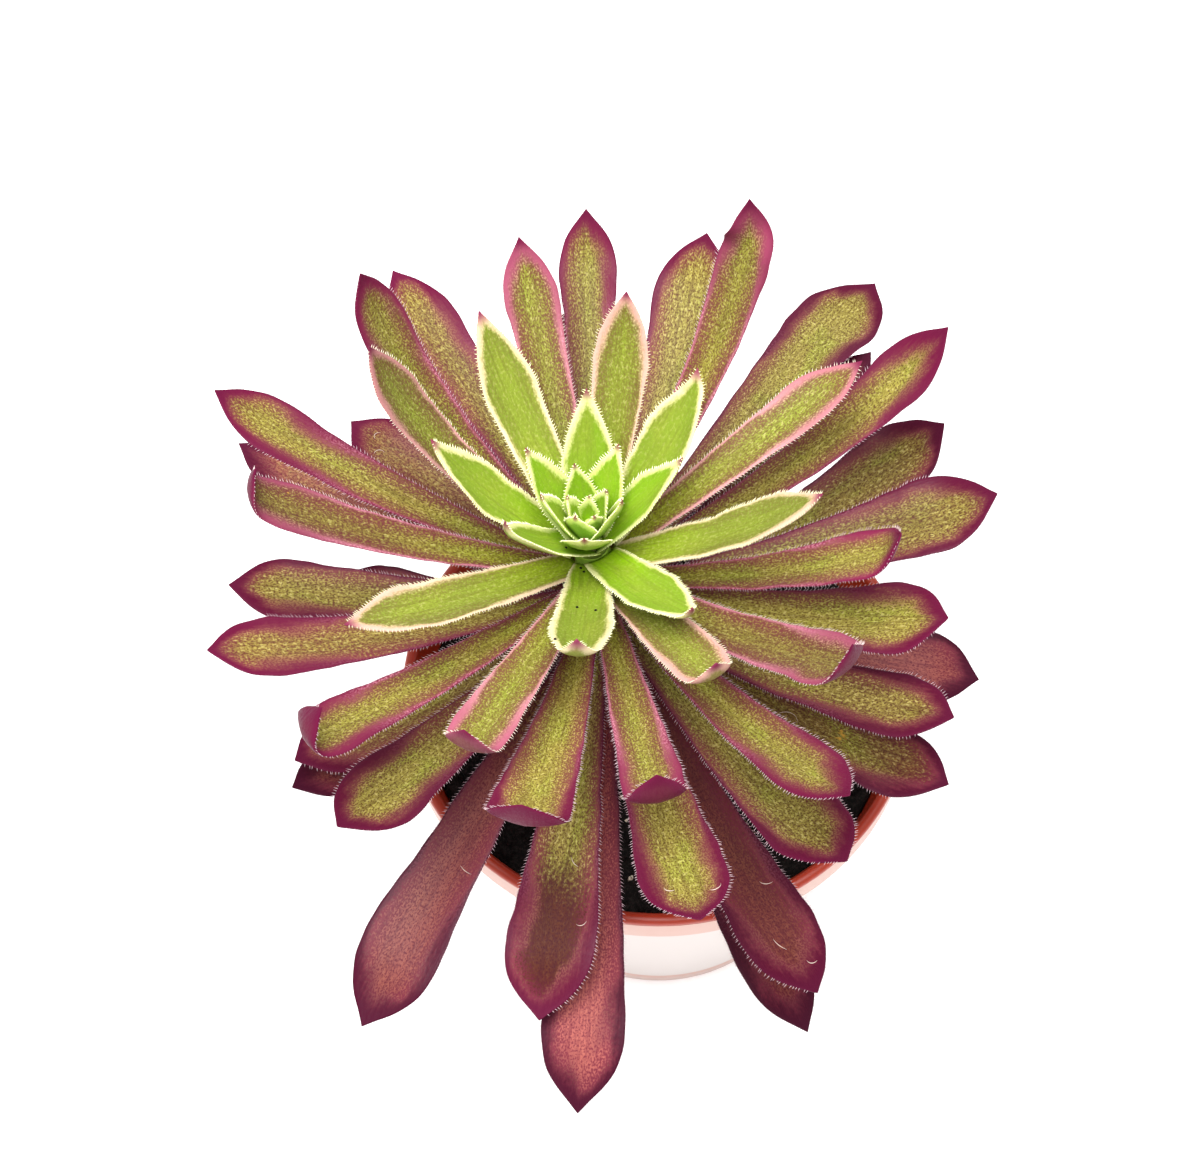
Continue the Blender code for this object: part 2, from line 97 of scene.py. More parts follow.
class Look:
    """A material in the making: a bare Principled shader, which nodes are then led to."""

    def __init__(self, name: str, **values: object) -> None:
        """Starts the material.

        Args:
            name: the material's name.
            values: the shader's inputs, with underscores for the spaces in their names.
        """
        self.material = bpy.data.materials.new(name)
        self.material.use_nodes = True
        self.tree = self.material.node_tree
        self.shader = self.tree.nodes["Principled BSDF"]
        for key, value in values.items():
            self.give(self.shader.inputs[key.replace("_", " ")], value)

    def give(self, socket: bpy.types.NodeSocket, value: object) -> None:
        """Gives an input what it reads.

        Args:
            socket: the input.
            value: an output to link, a colour's hex value, or a plain value.
        """
        if isinstance(value, bpy.types.NodeSocket):
            self.tree.links.new(value, socket)
        else:
            socket.default_value = linear(value) if isinstance(value, str) else value

    def add_node(
        self, kind: Kind, *values: object, stops: tuple = (), **settings: object
    ) -> bpy.types.NodeSocket:
        """Adds one node with its settings, values and links.

        Args:
            kind: the kind of node.
            values: for each of the kind's inputs in order, a value, a hex value or an output.
            stops: for a ramp, places from 0 to 1 with an sRGB hex value each.
            settings: the node's own properties.

        Returns:
            The node's output.
        """
        name, fixed, inputs, output = kind.value
        made = self.tree.nodes.new(name)
        for key, value in {**fixed, **settings}.items():
            setattr(made, key, value)
        for key, value in zip(inputs, values):
            self.give(made.inputs[key], value)
        if stops:
            elements = made.color_ramp.elements
            while len(elements) < len(stops):
                elements.new(1.0)
            for element, (place, code) in zip(elements, stops):
                element.position = place
                element.color = linear(code)
        return made.outputs[output]

    def linked(self, **outputs: bpy.types.NodeSocket) -> bpy.types.Material:
        """Leads outputs to the shader.

        Args:
            outputs: outputs by the shader's inputs, with underscores for the spaces.

        Returns:
            The finished material.
        """
        for key, output in outputs.items():
            self.give(self.shader.inputs[key.replace("_", " ")], output)
        return self.material


def mesh_from(name: str, bm: bmesh.types.BMesh) -> bpy.types.Mesh:
    """Turns a bmesh into a mesh.

    Args:
        name: the mesh's name.
        bm: its shape, which is freed.

    Returns:
        The new mesh.
    """
    mesh = bpy.data.meshes.new(name)
    bm.to_mesh(mesh)
    bm.free()
    return mesh


def set_out(name: str, data: bpy.types.ID) -> bpy.types.Object:
    """Makes an object and puts it in the scene.

    Args:
        name: the object's name.
        data: its mesh, lamp or camera.

    Returns:
        The new object.
    """
    made = bpy.data.objects.new(name, data)
    bpy.context.scene.collection.objects.link(made)
    return made


def close_skin(bm: bmesh.types.BMesh, sides: int = 0) -> None:
    """Joins a skin's seams, closes its holes and turns its faces outwards.

    Args:
        bm: the bmesh that holds it.
        sides: the most sides of a hole that is closed, or 0 to close none.
    """
    bmesh.ops.remove_doubles(bm, verts=bm.verts, dist=SEAM)
    if sides:
        bmesh.ops.holes_fill(bm, edges=bm.edges, sides=sides)
    bmesh.ops.recalc_face_normals(bm, faces=bm.faces)


def joined(parts: list[bmesh.types.BMesh]) -> bmesh.types.BMesh:
    """Puts several bmeshes into one.

    Args:
        parts: the bmeshes, which are freed.

    Returns:
        One bmesh with all their vertices and faces.
    """
    whole = bmesh.new()
    for part in parts:
        mesh = mesh_from("part", part)
        whole.from_mesh(mesh)
        bpy.data.meshes.remove(mesh)
    return whole


def spin_outline(
    bm: bmesh.types.BMesh, verts: list[bmesh.types.BMVert], steps: int, ring: bool = False
) -> None:
    """Turns an outline once round the Z axis into a closed skin.

    Args:
        bm: the bmesh that holds it.
        verts: the outline's vertices in order.
        steps: how many steps the turn takes.
        ring: whether the outline runs back to its start.
    """
    follow = verts[1:] + verts[:1] if ring else verts[1:]
    edges = [bm.edges.new(pair) for pair in zip(verts, follow)]
    bmesh.ops.spin(
        bm,
        geom=verts + edges,
        cent=(0, 0, 0),
        axis=(0, 0, 1),
        angle=FULL_TURN,
        steps=steps,
        use_merge=True,
    )
    close_skin(bm)


def add_piece(
    name: str,
    bm: bmesh.types.BMesh,
    materials: list[bpy.types.Material],
    stands_for: str | None = None,
) -> bpy.types.Object:
    """Turns a bmesh into a piece that rides on the plant's one body.

    Args:
        name: the piece's name.
        bm: its shape in the frame's coordinates, which is freed.
        materials: its materials, in the order of their face indices.
        stands_for: the CAD node that it replaces, if any.

    Returns:
        The new object.
    """
    mesh = mesh_from(name, bm)
    mesh.shade_smooth()
    piece = set_out(name, mesh)
    for material in materials:
        mesh.materials.append(material)
    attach(piece, "root")
    if stands_for:
        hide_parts(stands_for)
    LOG.info("%s: %d faces", name, len(mesh.polygons))
    return piece


def rippled(place: tuple[float, float, float]) -> float:
    """Gives smooth noise between about -1 and 1 at this place."""
    return noise.noise(Vector(place))


def smooth(value: np.ndarray, start: float, end: float) -> np.ndarray:
    """Gives a soft step from 0 at start to 1 at end."""
    share = np.clip((value - start) / (end - start), 0, 1)
    return share * share * (3 - 2 * share)


# --- The growth rule ---------------------------------------------------------------------


@dataclass(frozen=True)
class Trait:
    """How one leaf strays from the rule: turned, lifted, stretched, curled or hooked."""

    swing: float = 0
    lift: float = 0
    stretch: float = 1
    broad: float = 1
    droop: float = 0
    bend: float = 0
    twist: float = 0
    curl: float = 0
    hook: float = 0
    blunt: float = 1


TRAITS: dict[int, Trait] = {
    -1: Trait(stretch=0.9),
    0: Trait(swing=-5, stretch=0.9),
    1: Trait(swing=-10, lift=-4),
    2: Trait(swing=7, stretch=0.8),
    3: Trait(droop=-5, stretch=0.9),
    4: Trait(curl=12),
    5: Trait(lift=5, stretch=0.8),
    6: Trait(swing=-10, lift=-12, droop=-10, curl=25),
    7: Trait(droop=5, stretch=0.95),
    8: Trait(swing=5, stretch=0.87, hook=30),
    9: Trait(swing=8, lift=-5, droop=-10, curl=40, blunt=1.5),
    10: Trait(swing=2, droop=8),
    11: Trait(swing=-3, stretch=1.08),
    12: Trait(swing=10, lift=-8, droop=-12, stretch=1.05),
    13: Trait(swing=7, lift=7, droop=15, stretch=0.9),
    14: Trait(swing=5, droop=-20, stretch=0.95, curl=45, blunt=1.4),
    15: Trait(swing=5, lift=2, droop=25, stretch=1.03),
    16: Trait(swing=8, droop=-20, stretch=0.95),
    17: Trait(swing=9, lift=-5, droop=-15, curl=55, blunt=1.6),
    18: Trait(swing=3, stretch=0.93, droop=5),
    19: Trait(swing=-9, lift=-3, stretch=1.1, broad=1.15, curl=40),
    20: Trait(stretch=1.1, curl=55),
    21: Trait(swing=2, lift=9, droop=23, stretch=1.12, hook=50),
    22: Trait(swing=8, droop=-20, broad=0.95, curl=66, blunt=1.8),
    23: Trait(swing=12, lift=10, droop=25, stretch=1.05),
    24: Trait(swing=-12, stretch=0.88, curl=25),
    25: Trait(swing=6, droop=-13, stretch=1.07, curl=85, hook=-30),
    26: Trait(swing=9, stretch=0.93),
    27: Trait(swing=-2, stretch=1.1),
    28: Trait(swing=-4, stretch=1.03),
    29: Trait(swing=-6, droop=14, stretch=1.05),
    30: Trait(swing=8, lift=5, broad=1.12, curl=38, blunt=1.8),
    31: Trait(swing=7, droop=-30),
    32: Trait(swing=3, stretch=0.86, broad=1.25),
    33: Trait(swing=2, stretch=0.95),
    34: Trait(swing=9, droop=12, stretch=0.9, broad=1.15),
    35: Trait(swing=-3, droop=10, stretch=1.08, broad=1.15),
    36: Trait(swing=-4, lift=-4, droop=-20, stretch=0.74),
    37: Trait(swing=-4, stretch=0.93, broad=1.25),
    38: Trait(stretch=0.9, broad=1.1),
    39: Trait(lift=-3, stretch=0.75),
    40: Trait(swing=-16, lift=4, droop=3, broad=1.1),
    41: Trait(swing=4, droop=-5, stretch=0.84),
    42: Trait(swing=11, lift=3, droop=-39, stretch=1.17, broad=1.25),
    43: Trait(swing=-2, lift=-4, droop=-16, stretch=1.01, broad=1.15),
    44: Trait(stretch=0.8),
    45: Trait(swing=-20, lift=2, droop=7, stretch=0.88),
    46: Trait(swing=3, stretch=0.8),
    47: Trait(swing=6, stretch=0.65),
    48: Trait(swing=-4, lift=-6, droop=13, stretch=1.09),
    49: Trait(swing=-6, lift=-5, stretch=0.97, broad=0.85),
    50: Trait(swing=-1, lift=2, droop=24, stretch=0.88, broad=1.1),
    51: Trait(swing=-4, droop=-36, stretch=1.07, broad=1.08),
    52: Trait(stretch=0.6),
    53: Trait(swing=-5, droop=8, stretch=0.88),
    54: Trait(swing=-19, lift=1, stretch=0.58, broad=0.6),
    55: Trait(swing=-8, stretch=0.93, broad=0.85),
    56: Trait(swing=-10, stretch=1.16),
    58: Trait(swing=-10, lift=2, droop=-27, stretch=0.84, twist=25),
    59: Trait(swing=-8, lift=5, droop=10, stretch=0.82, broad=0.85),
    61: Trait(swing=-17, lift=-3, stretch=1.03, broad=0.85),
}


@dataclass(frozen=True)
class Flush:
    """How far one leaf has turned red: how much, from where along it, and how pale a red."""

    amount: float = 0
    start: float = 0
    pale: float = 0


FLUSHES: dict[int, Flush] = {
    19: Flush(0.35, 0.2, 0.3),
    20: Flush(0.35, 0.3, 0.3),
    28: Flush(0.15, 0.3, 0.3),
    31: Flush(0.35, 0.3, 0.2),
    33: Flush(0.35, 0.2, 0.3),
    34: Flush(0.20, 0.4, 0.2),
    36: Flush(0.45, 0.2, 0.4),
    37: Flush(0.30, 0.3, 0.2),
    39: Flush(0.60, 0.2, 0.3),
    40: Flush(0.40, 0.75, 0.0),
    41: Flush(0.20, 0.2, 0.2),
    43: Flush(1.10, 0.62, 0.0),
    44: Flush(0.50, 0.2, 0.2),
    45: Flush(0.30, 0.5, 0.0),
    46: Flush(0.40, 0.6, 0.3),
    47: Flush(0.60, 0.2, 0.2),
    48: Flush(0.95, 0.05, 0.20),
    49: Flush(0.50, 0.1, 0.6),
    50: Flush(0.30, 0.7, 0.0),
    51: Flush(0.90, 0.22, 0.50),
    52: Flush(0.50, 0.2, 0.2),
    53: Flush(0.70, 0.76, 0.1),
    55: Flush(0.30, 0.3, 0.0),
    56: Flush(1.00, 0.0, 0.95),
    58: Flush(0.90, 0.0, 0.60),
    59: Flush(0.90, 0.0, 0.50),
    61: Flush(0.95, 0.0, 0.35),
}


@dataclass(frozen=True)
class Mark:
    """One mark on a leaf: where it lies along and across it, its length, heading and bend.

    The length is in millimetres, and the bend is the turn from end to end in degrees.
    """

    leaf: int
    share: float
    across: float
    length: float = 0
    heading: float = 0
    bend: float = 0


SCRATCHES: tuple[Mark, ...] = (
    Mark(53, 0.56, -0.1, 6.0, 200, 150),
    Mark(35, 0.86, -0.5, 2.6, 60, 150),
    Mark(35, 0.90, 0.5, 3.0, 130, 170),
    Mark(43, 0.62, 0.2, 2.4, 40, 50),
    Mark(43, 0.78, 0.5, 2.2, 120, 130),
    Mark(48, 0.70, 0.3, 2.6, 60, 90),
    Mark(48, 0.84, -0.2, 3.4, 20, 40),
    Mark(48, 0.92, 0.3, 2.6, 70, 120),
    Mark(51, 0.62, 0.3, 3.0, 80, 40),
    Mark(36, 0.84, 0.2, 2.8, 60, 140),
    Mark(36, 0.90, -0.3, 2.4, 100, 150),
)
SPECKS: tuple[Mark, ...] = (
    Mark(9, 0.04, -0.5),
    Mark(9, 0.05, 0.0),
    Mark(9, 0.05, 0.5),
    Mark(9, 0.07, -0.3),
    Mark(9, 0.08, 0.2),
    Mark(9, 0.09, 0.6),
    Mark(9, 0.42, -0.3),
    Mark(9, 0.45, 0.4),
    Mark(9, 0.80, -0.9),
    Mark(4, 0.25, 0.2),
)
DRY_PATCHES: tuple[Mark, ...] = (Mark(53, 0.68, 0.1, 5.0), Mark(20, 0.80, -0.6, 2.0))


@dataclass(frozen=True)
class LeafShape:
    """The form of one leaf, as the rule and its trait give it, in metres and degrees."""

    number: int
    azimuth: float
    length: float
    width: float
    thickness: float
    base_pitch: float
    tip_pitch: float
    widest_at: float
    base_share: float
    neck_share: float
    bluntness: float
    root: np.ndarray
    trait: Trait

    neck_length: float = 0.12
    pitch_bow: float = 1.3
    curl_from: float = 0.85
    curl_to: float = 0.94

    def headings(self, shares: np.ndarray) -> tuple[np.ndarray, np.ndarray]:
        """Works out which way the blade runs.

        Args:
            shares: places along the blade, from 0 to 1.

        Returns:
            The blade's heading and its pitch there, in radians.
        """
        end = smooth(shares, self.curl_from, self.curl_to)
        turn = self.trait.bend * shares**2 + self.trait.hook * end
        pitch = self.base_pitch + (self.tip_pitch - self.base_pitch) * shares**self.pitch_bow
        return self.azimuth + np.radians(turn), np.radians(pitch + self.trait.curl * end)

    def aheads(self, shares: np.ndarray) -> np.ndarray:
        """Works out the directions along the blade.

        Args:
            shares: places along the blade, from 0 to 1.

        Returns:
            A unit vector for each place.
        """
        heading, pitch = self.headings(shares)
        level = np.cos(pitch)
        parts = (level * np.cos(heading), level * np.sin(heading), np.sin(pitch))
        return np.stack(parts, axis=1)

    def half_widths(self, shares: np.ndarray) -> np.ndarray:
        """Works out the blade's width: a neck, a long taper to the widest place, a point.

        Args:
            shares: places along the blade, from 0 to 1.

        Returns:
            Half the width at each place, in metres.
        """
        rising = shares / self.widest_at
        taper = self.base_share + (1 - self.base_share) * rising
        falling = np.clip((shares - self.widest_at) / (1 - self.widest_at), 0, 1)
        end = 1 - falling**self.bluntness
        width = np.where(shares < self.widest_at, taper, end)
        narrowing = np.clip(1 - shares / self.neck_length, 0, 1) ** 2
        return 0.5 * self.width * width * (1 - (1 - self.neck_share) * narrowing)

    def frames(self, shares: np.ndarray, steps: int = 60) -> tuple[np.ndarray, ...]:
        """Walks along the blade.

        Args:
            shares: places along the blade, from 0 at its root to 1 at its tip.
            steps: how many straight steps the walk takes.

        Returns:
            The blade's middle points, side vectors, up vectors and vectors ahead.
        """
        middles = self.aheads((np.arange(steps) + 0.5) / steps) * self.length / steps
        walked = np.vstack([self.root, self.root + np.cumsum(middles, axis=0)])
        places = np.linspace(0, 1, steps + 1)
        points = np.stack([np.interp(shares, places, walked[:, i]) for i in range(3)], axis=1)
        heading, _ = self.headings(shares)
        ahead = self.aheads(shares)
        level_side = np.stack([-np.sin(heading), np.cos(heading), 0 * heading], axis=1)
        level_up = np.cross(ahead, level_side)
        roll = np.radians(self.trait.twist) * shares[:, None]
        side = level_side * np.cos(roll) + level_up * np.sin(roll)
        return points, side, np.cross(ahead, side), ahead


@dataclass(frozen=True)
class GrowthRule:
    """The plant's spiral: where each leaf stands on the stem, and how large it has grown."""

    golden_angle: float = 137.5
    first_azimuth: float = 58.0
    youngest: int = -9
    first_leaf: int = 6
    last_leaf: int = 61
    shed: tuple[int, ...] = (57, 60)
    stem_foot: tuple[float, float, float] = (-0.0058, 0.0011, 0.0585)
    stem_top: tuple[float, float, float] = (-0.0121, 0.0000, 0.1325)
    stem_foot_radius: float = 0.0046
    stem_top_radius: float = 0.0033
    top_height: float = 0.1360
    height_step: float = 0.00055
    bud_height_step: float = 0.00020
    gap: float = 0.0003
    bud_reach: float = 0.4
    spiral: tuple[float, ...] = (-9, -4, 0, 4, 9, 16, 24, 34, 58)
    lengths: tuple[float, ...] = (0.006, 0.012, 0.021, 0.034, 0.044, 0.060, 0.070, 0.077, 0.082)
    widths: tuple[float, ...] = (
        0.0036, 0.0062, 0.0080, 0.0096, 0.0104, 0.0100, 0.0108, 0.0128, 0.0146,
    )  # fmt: skip
    thicknesses: tuple[float, ...] = (
        0.0008, 0.0009, 0.0010, 0.0011, 0.0013, 0.0016, 0.0018, 0.0020, 0.0022,
    )  # fmt: skip
    base_pitches: tuple[float, ...] = (84, 72, 60, 48, 38, 30, 18, 6, -2)
    tip_pitches: tuple[float, ...] = (84, 78, 72, 68, 60, 50, 48, 34, 10)
    widest_at: tuple[float, ...] = (0.42, 0.42, 0.44, 0.48, 0.62, 0.78, 0.82, 0.82, 0.82)
    base_shares: tuple[float, ...] = (0.90, 0.88, 0.84, 0.82, 0.66, 0.44, 0.28, 0.20, 0.18)
    bluntnesses: tuple[float, ...] = (1.5, 1.5, 1.5, 1.5, 1.7, 2.1, 2.4, 2.6, 2.6)
    necks: tuple[float, ...] = (0.95, 0.95, 0.95, 0.95, 0.90, 0.85, 0.95, 1.00, 1.00)

    def along(self, values: tuple[float, ...], number: int) -> float:
        """Gives the rule's value at this leaf's place on the spiral."""
        return float(np.interp(number, self.spiral, values))

    def stem_point(self, height: float) -> np.ndarray:
        """Finds a point of the stem's axis.

        Args:
            height: how high it lies, in metres.

        Returns:
            The point.
        """
        foot = np.array(self.stem_foot)
        top = np.array(self.stem_top)
        return foot + (height - foot[2]) / (top[2] - foot[2]) * (top - foot)

    def stem_radius(self, height: float) -> float:
        """Gives the stem's radius at this height, the same above its top."""
        share = min(1.0, (height - self.stem_foot[2]) / (self.stem_top[2] - self.stem_foot[2]))
        return self.stem_foot_radius + share * (self.stem_top_radius - self.stem_foot_radius)

    def shape(self, number: int) -> LeafShape:
        """Works out the form of one leaf.

        Args:
            number: the leaf's place on the spiral, counted from young to old.

        Returns:
            Its form, with its own trait worked in.
        """
        trait = TRAITS.get(number, Trait())
        step = self.height_step if number > 0 else self.bud_height_step
        height = self.top_height - step * number
        azimuth = math.radians(self.first_azimuth - self.golden_angle * number + trait.swing)
        outward = np.array([math.cos(azimuth), math.sin(azimuth), 0.0])
        radius = self.stem_radius(height)
        reach = radius + self.gap if number >= self.first_leaf else self.bud_reach * radius
        return LeafShape(
            number=number,
            azimuth=azimuth,
            length=self.along(self.lengths, number) * trait.stretch,
            width=self.along(self.widths, number) * trait.broad,
            thickness=self.along(self.thicknesses, number),
            base_pitch=self.along(self.base_pitches, number) + trait.lift,
            tip_pitch=self.along(self.tip_pitches, number) + trait.lift + trait.droop,
            widest_at=self.along(self.widest_at, number),
            base_share=self.along(self.base_shares, number),
            neck_share=self.along(self.necks, number),
            bluntness=self.along(self.bluntnesses, number) * trait.blunt,
            root=self.stem_point(height) + reach * outward,
            trait=trait,
        )

    def free_leaves(self) -> list[int]:
        """Lists the leaves that stand free of the bud, from young to old."""
        numbers = range(self.first_leaf, self.last_leaf + 1)
        return [number for number in numbers if number not in self.shed]

    def age(self, number: int) -> float:
        """Gives a leaf's age, from 0 in the bud to 1 for the oldest."""
        return max(0.0, number / self.last_leaf)


# --- Finishes ----------------------------------------------------------------------------


@dataclass(frozen=True)
class LeafCuticle:
    """Living leaf under a thin wax: soft gloss, and colour that follows age and the margin."""

    # Colours from the youngest leaf to the oldest.
    blade: tuple = (
        (0.00, "#82ae1c"), (0.06, "#84ae22"), (0.13, "#7d962a"), (0.21, "#7e8a32"), (0.34, "#97883f"),
        (0.50, "#9e8846"), (0.70, "#967d47"), (0.86, "#80563c"), (1.00, "#85503e"),
    )  # fmt: skip
    base: tuple = (
        (0.00, "#86b40c"), (0.12, "#92be12"), (0.25, "#9ca824"), (0.45, "#9a9632"), (0.70, "#9a8c4c"),
        (0.86, "#96704c"), (1.00, "#965a44"),
    )  # fmt: skip
    margin: tuple = (
        (0.00, "#d2e080"), (0.07, "#ecf0a8"), (0.17, "#ecd8b0"), (0.24, "#d8a698"), (0.31, "#ac6474"),
        (0.40, "#822a46"), (0.52, "#661a36"), (0.70, "#52122a"), (1.00, "#481426"),
    )  # fmt: skip
    shoulder: tuple = (
        (0.09, "#eef0aa"), (0.19, "#dfb09c"), (0.28, "#a6566c"), (0.37, "#782242"), (0.50, "#5c1230"),
        (0.75, "#4a0e25"), (1.00, "#3e1121"),
    )  # fmt: skip
    inner_line: tuple = (
        (0.00, "#e4f08a"), (0.16, "#e6dc98"), (0.27, "#c99c84"), (0.42, "#93604c"), (1.00, "#6e3440"),
    )  # fmt: skip
    tip: tuple = ((0.00, "#8c4a52"), (0.15, "#93405c"), (0.30, "#661638"), (1.00, "#380f20"))
    underside: tuple = (
        (0.00, "#96ba48"), (0.20, "#a3a358"), (0.40, "#a88468"), (0.65, "#a5607a"), (1.00, "#94506a"),
    )  # fmt: skip
    pigment: tuple = ((0.00, "#7f9c2c"), (0.25, "#5f4e22"), (0.60, "#4a2f18"), (1.00, "#421e1a"))
    # Single colours, and the dark margin's width on the youngest and the oldest leaf.
    red_pigment: str = "#6c2838"
    dark_pigment: str = "#38101a"
    maroon: str = "#420b14"
    salmon: str = "#a85a56"
    moss: str = "#8f9c34"
    bloom: str = "#dd95a6"
    straw: str = "#c79a3e"
    glint: str = "#d3c684"
    shaded: str = "#e4e4e4"
    lit: str = "#ffffff"
    young_band: float = 0.75 * MM
    old_band: float = 1.65 * MM
    # Sizes of the patterns across and along the leaf. The grain stands for pigment cells of
    # a tenth of a millimetre, drawn three times as coarse so that it shows.
    grain: tuple[float, float] = (0.26 * MM, 0.48 * MM)
    fleck: tuple[float, float] = (0.50 * MM, 0.95 * MM)
    streak: tuple[float, float] = (0.60 * MM, 11.0 * MM)
    patch: tuple[float, float] = (6.5 * MM, 15.0 * MM)
    # Each row is a name, a kind of node and its values, and a word among them stands for a
    # leaf's attribute, a field above or the last row of that name. A step is followed by what
    # it reads, where it starts and ends, and what it gives before and after. A blend is
    # followed by its share and its two ends, and a sum by two factors and what is added.
    recipe: tuple = (
        # Pigment cells, thicker near the margin, and mottling, glints, moss and streaks.
        ("outer", Kind.STEP, "share", 0.50, 0.88, 0.0, 1.0),
        ("nearest", Kind.STEP, "share", 0.20, 0.80, 2.5 * MM, 6.0 * MM),
        ("near", Kind.STEP, "rim", "nearest", 0.6 * MM, 0.0, 1.0),
        ("grained", Kind.SUM, "near", 0.13, "grain"),
        ("most", Kind.STEP, "age", 0.10, 0.32, 0.08, 0.84),
        ("specks", Kind.STEP, "grained", 0.50, 0.62, 0.0, "most"),
        ("most", Kind.STEP, "age", 0.05, 0.30, 0.14, 0.42),
        ("mottling", Kind.STEP, "fleck", 0.44, 0.66, 0.0, "most"),
        ("most", Kind.STEP, "age", 0.08, 0.28, 0.10, 0.36),
        ("glinting", Kind.STEP, "fleck", 0.48, 0.32, 0.0, "most"),
        ("middle", Kind.STEP, "rim", 1.5 * MM, 4.5 * MM, 0.0, 0.32),
        ("greening", Kind.STEP, "patch", 0.48, 0.64, 0.0, 0.50),
        ("streaking", Kind.STEP, "streak", 0.45, 0.66, 0.0, 0.42),
        # The dark margin: how wide it is, how ragged, and the pale line inside it.
        ("band", Kind.STEP, "age", 0.08, 0.48, "young_band", "old_band"),
        ("narrowest", Kind.STEP, "age", 0.08, 0.35, 0.85, 0.24),
        ("spread", Kind.BLEND_NUMBER, "outer", "narrowest", 1.0),
        ("band", Kind.PRODUCT, "band", "spread"),
        ("widest", Kind.STEP, "age", 0.15, 0.50, 1.15, 1.80),
        ("unequal", Kind.STEP, "patch", 0.34, 0.68, 0.55, "widest"),
        ("band", Kind.PRODUCT, "band", "unequal"),
        ("depth", Kind.QUOTIENT, "rim", "band"),
        ("ragged", Kind.SUM, "streak", 0.9, "depth"),
        ("ragged", Kind.SUM, "fleck", 1.1, "ragged"),
        ("ragged", Kind.SUM, "grain", 0.8, "ragged"),
        ("on_line", Kind.STEP, "ragged", 3.6, 2.4, 0.0, 0.70),
        ("end", Kind.BLEND_NUMBER, "outer", 1.75, 1.70),
        ("start", Kind.BLEND_NUMBER, "outer", 2.95, 3.20),
        ("on_band", Kind.STEP, "ragged", "start", "end", 0.0, 1.0),
        ("most", Kind.STEP, "age", 0.22, 0.40, 0.0, 0.60),
        ("on_edge", Kind.STEP, "depth", 0.60, 0.05, 0.0, "most"),
        # A pink bloom on the margin's inner half, and the dark end and point.
        ("most", Kind.STEP, "age", 0.36, 0.52, 0.80, 0.14),
        ("blooming", Kind.STEP, "age", 0.17, 0.26, 0.0, "most"),
        ("blooming", Kind.STEP, "outer", 0.2, 0.9, "blooming", 0.0),
        ("blooming", Kind.STEP, "grain", 0.44, 0.60, 0.0, "blooming"),
        ("most", Kind.STEP, "age", 0.15, 0.40, 0.0, 0.42),
        ("ending", Kind.STEP, "share", 0.88, 0.99, 0.0, "most"),
        ("start", Kind.STEP, "age", 0.06, 0.25, 0.90, 0.955),
        ("on_tip", Kind.STEP, "share", "start", 0.99, 0.0, 1.0),
        ("most", Kind.STEP, "age", 0.20, 0.30, 0.0, 0.95),
        ("lip", Kind.STEP, "share", 0.84, 0.92, 0.0, "most"),
        # Leaves that have flushed red, and the dried patches.
        ("flushed", Kind.SUM, "fleck", 0.5, "flush"),
        ("flushed", Kind.SUM, "patch", 0.5, "flushed"),
        ("flushed", Kind.STEP, "flushed", 0.55, 1.20, 0.0, 0.94),
        ("dried", Kind.SUM, "fleck", 0.9, "dry"),
        ("dried", Kind.STEP, "dried", 0.95, 1.10, 0.0, 0.9),
        # The colours that vary over the leaf.
        ("red", Kind.BLEND, "pale", "maroon", "salmon"),
        ("red_flecks", Kind.BLEND, "pale", "dark_pigment", "red_pigment"),
        ("pigment", Kind.BLEND, "flushed", "pigment", "red_flecks"),
        ("speck", Kind.BLEND, "near", "pigment", "red_pigment"),
        ("edging", Kind.BLEND, "outer", "margin", "shoulder"),
        ("edging", Kind.BLEND, "blooming", "edging", "bloom"),
        # The upper face, coat over coat.
        ("from_base", Kind.STEP, "share", 0.05, 0.50, 0.0, 1.0),
        ("over", Kind.BLEND, "from_base", "base", "blade"),
        ("over", Kind.BLEND, "middle", "over", "moss"),
        ("over", Kind.BLEND, "greening", "over", "moss"),
        ("over", Kind.BLEND, "glinting", "over", "glint"),
        ("over", Kind.BLEND, "flushed", "over", "red"),
        ("over", Kind.BLEND, "streaking", "over", "pigment"),
        ("over", Kind.BLEND, "mottling", "over", "pigment"),
        ("over", Kind.BLEND, "on_line", "over", "inner_line"),
        ("over", Kind.BLEND, "specks", "over", "speck"),
        ("over", Kind.BLEND, "on_band", "over", "edging"),
        ("over", Kind.BLEND, "on_edge", "over", "tip"),
        ("over", Kind.BLEND, "ending", "over", "tip"),
        ("over", Kind.BLEND, "on_tip", "over", "tip"),
        ("over", Kind.BLEND, "dried", "over", "straw"),
        # The lower face, and the leaf's own tone over both.
        ("under", Kind.BLEND, "mottling", "underside", "pigment"),
        ("under", Kind.BLEND, "on_band", "under", "margin"),
        ("under", Kind.BLEND, "lip", "under", "tip"),
        ("under", Kind.BLEND, "on_tip", "under", "tip"),
        ("colour", Kind.BLEND, "upper", "under", "over"),
        ("shade", Kind.BLEND, "tone", "shaded", "lit"),
        ("colour", Kind.MULTIPLY, 1.0, "colour", "shade"),
        # The relief and the gloss.
        ("relief", Kind.SUM, "streak", 1.2, "fleck"),
        ("bump", Kind.BUMP, 0.55, 0.14 * MM, "relief"),
        ("gloss", Kind.STEP, "grain", 0.30, 0.75, 0.42, 0.60),
        ("shine", Kind.STEP, "share", 0.82, 0.92, 0.22, 0.06),
    )

    def material(self) -> bpy.types.Material:
        """Builds the cuticle's material, which reads the leaf's named attributes.

        Returns:
            The material.
        """
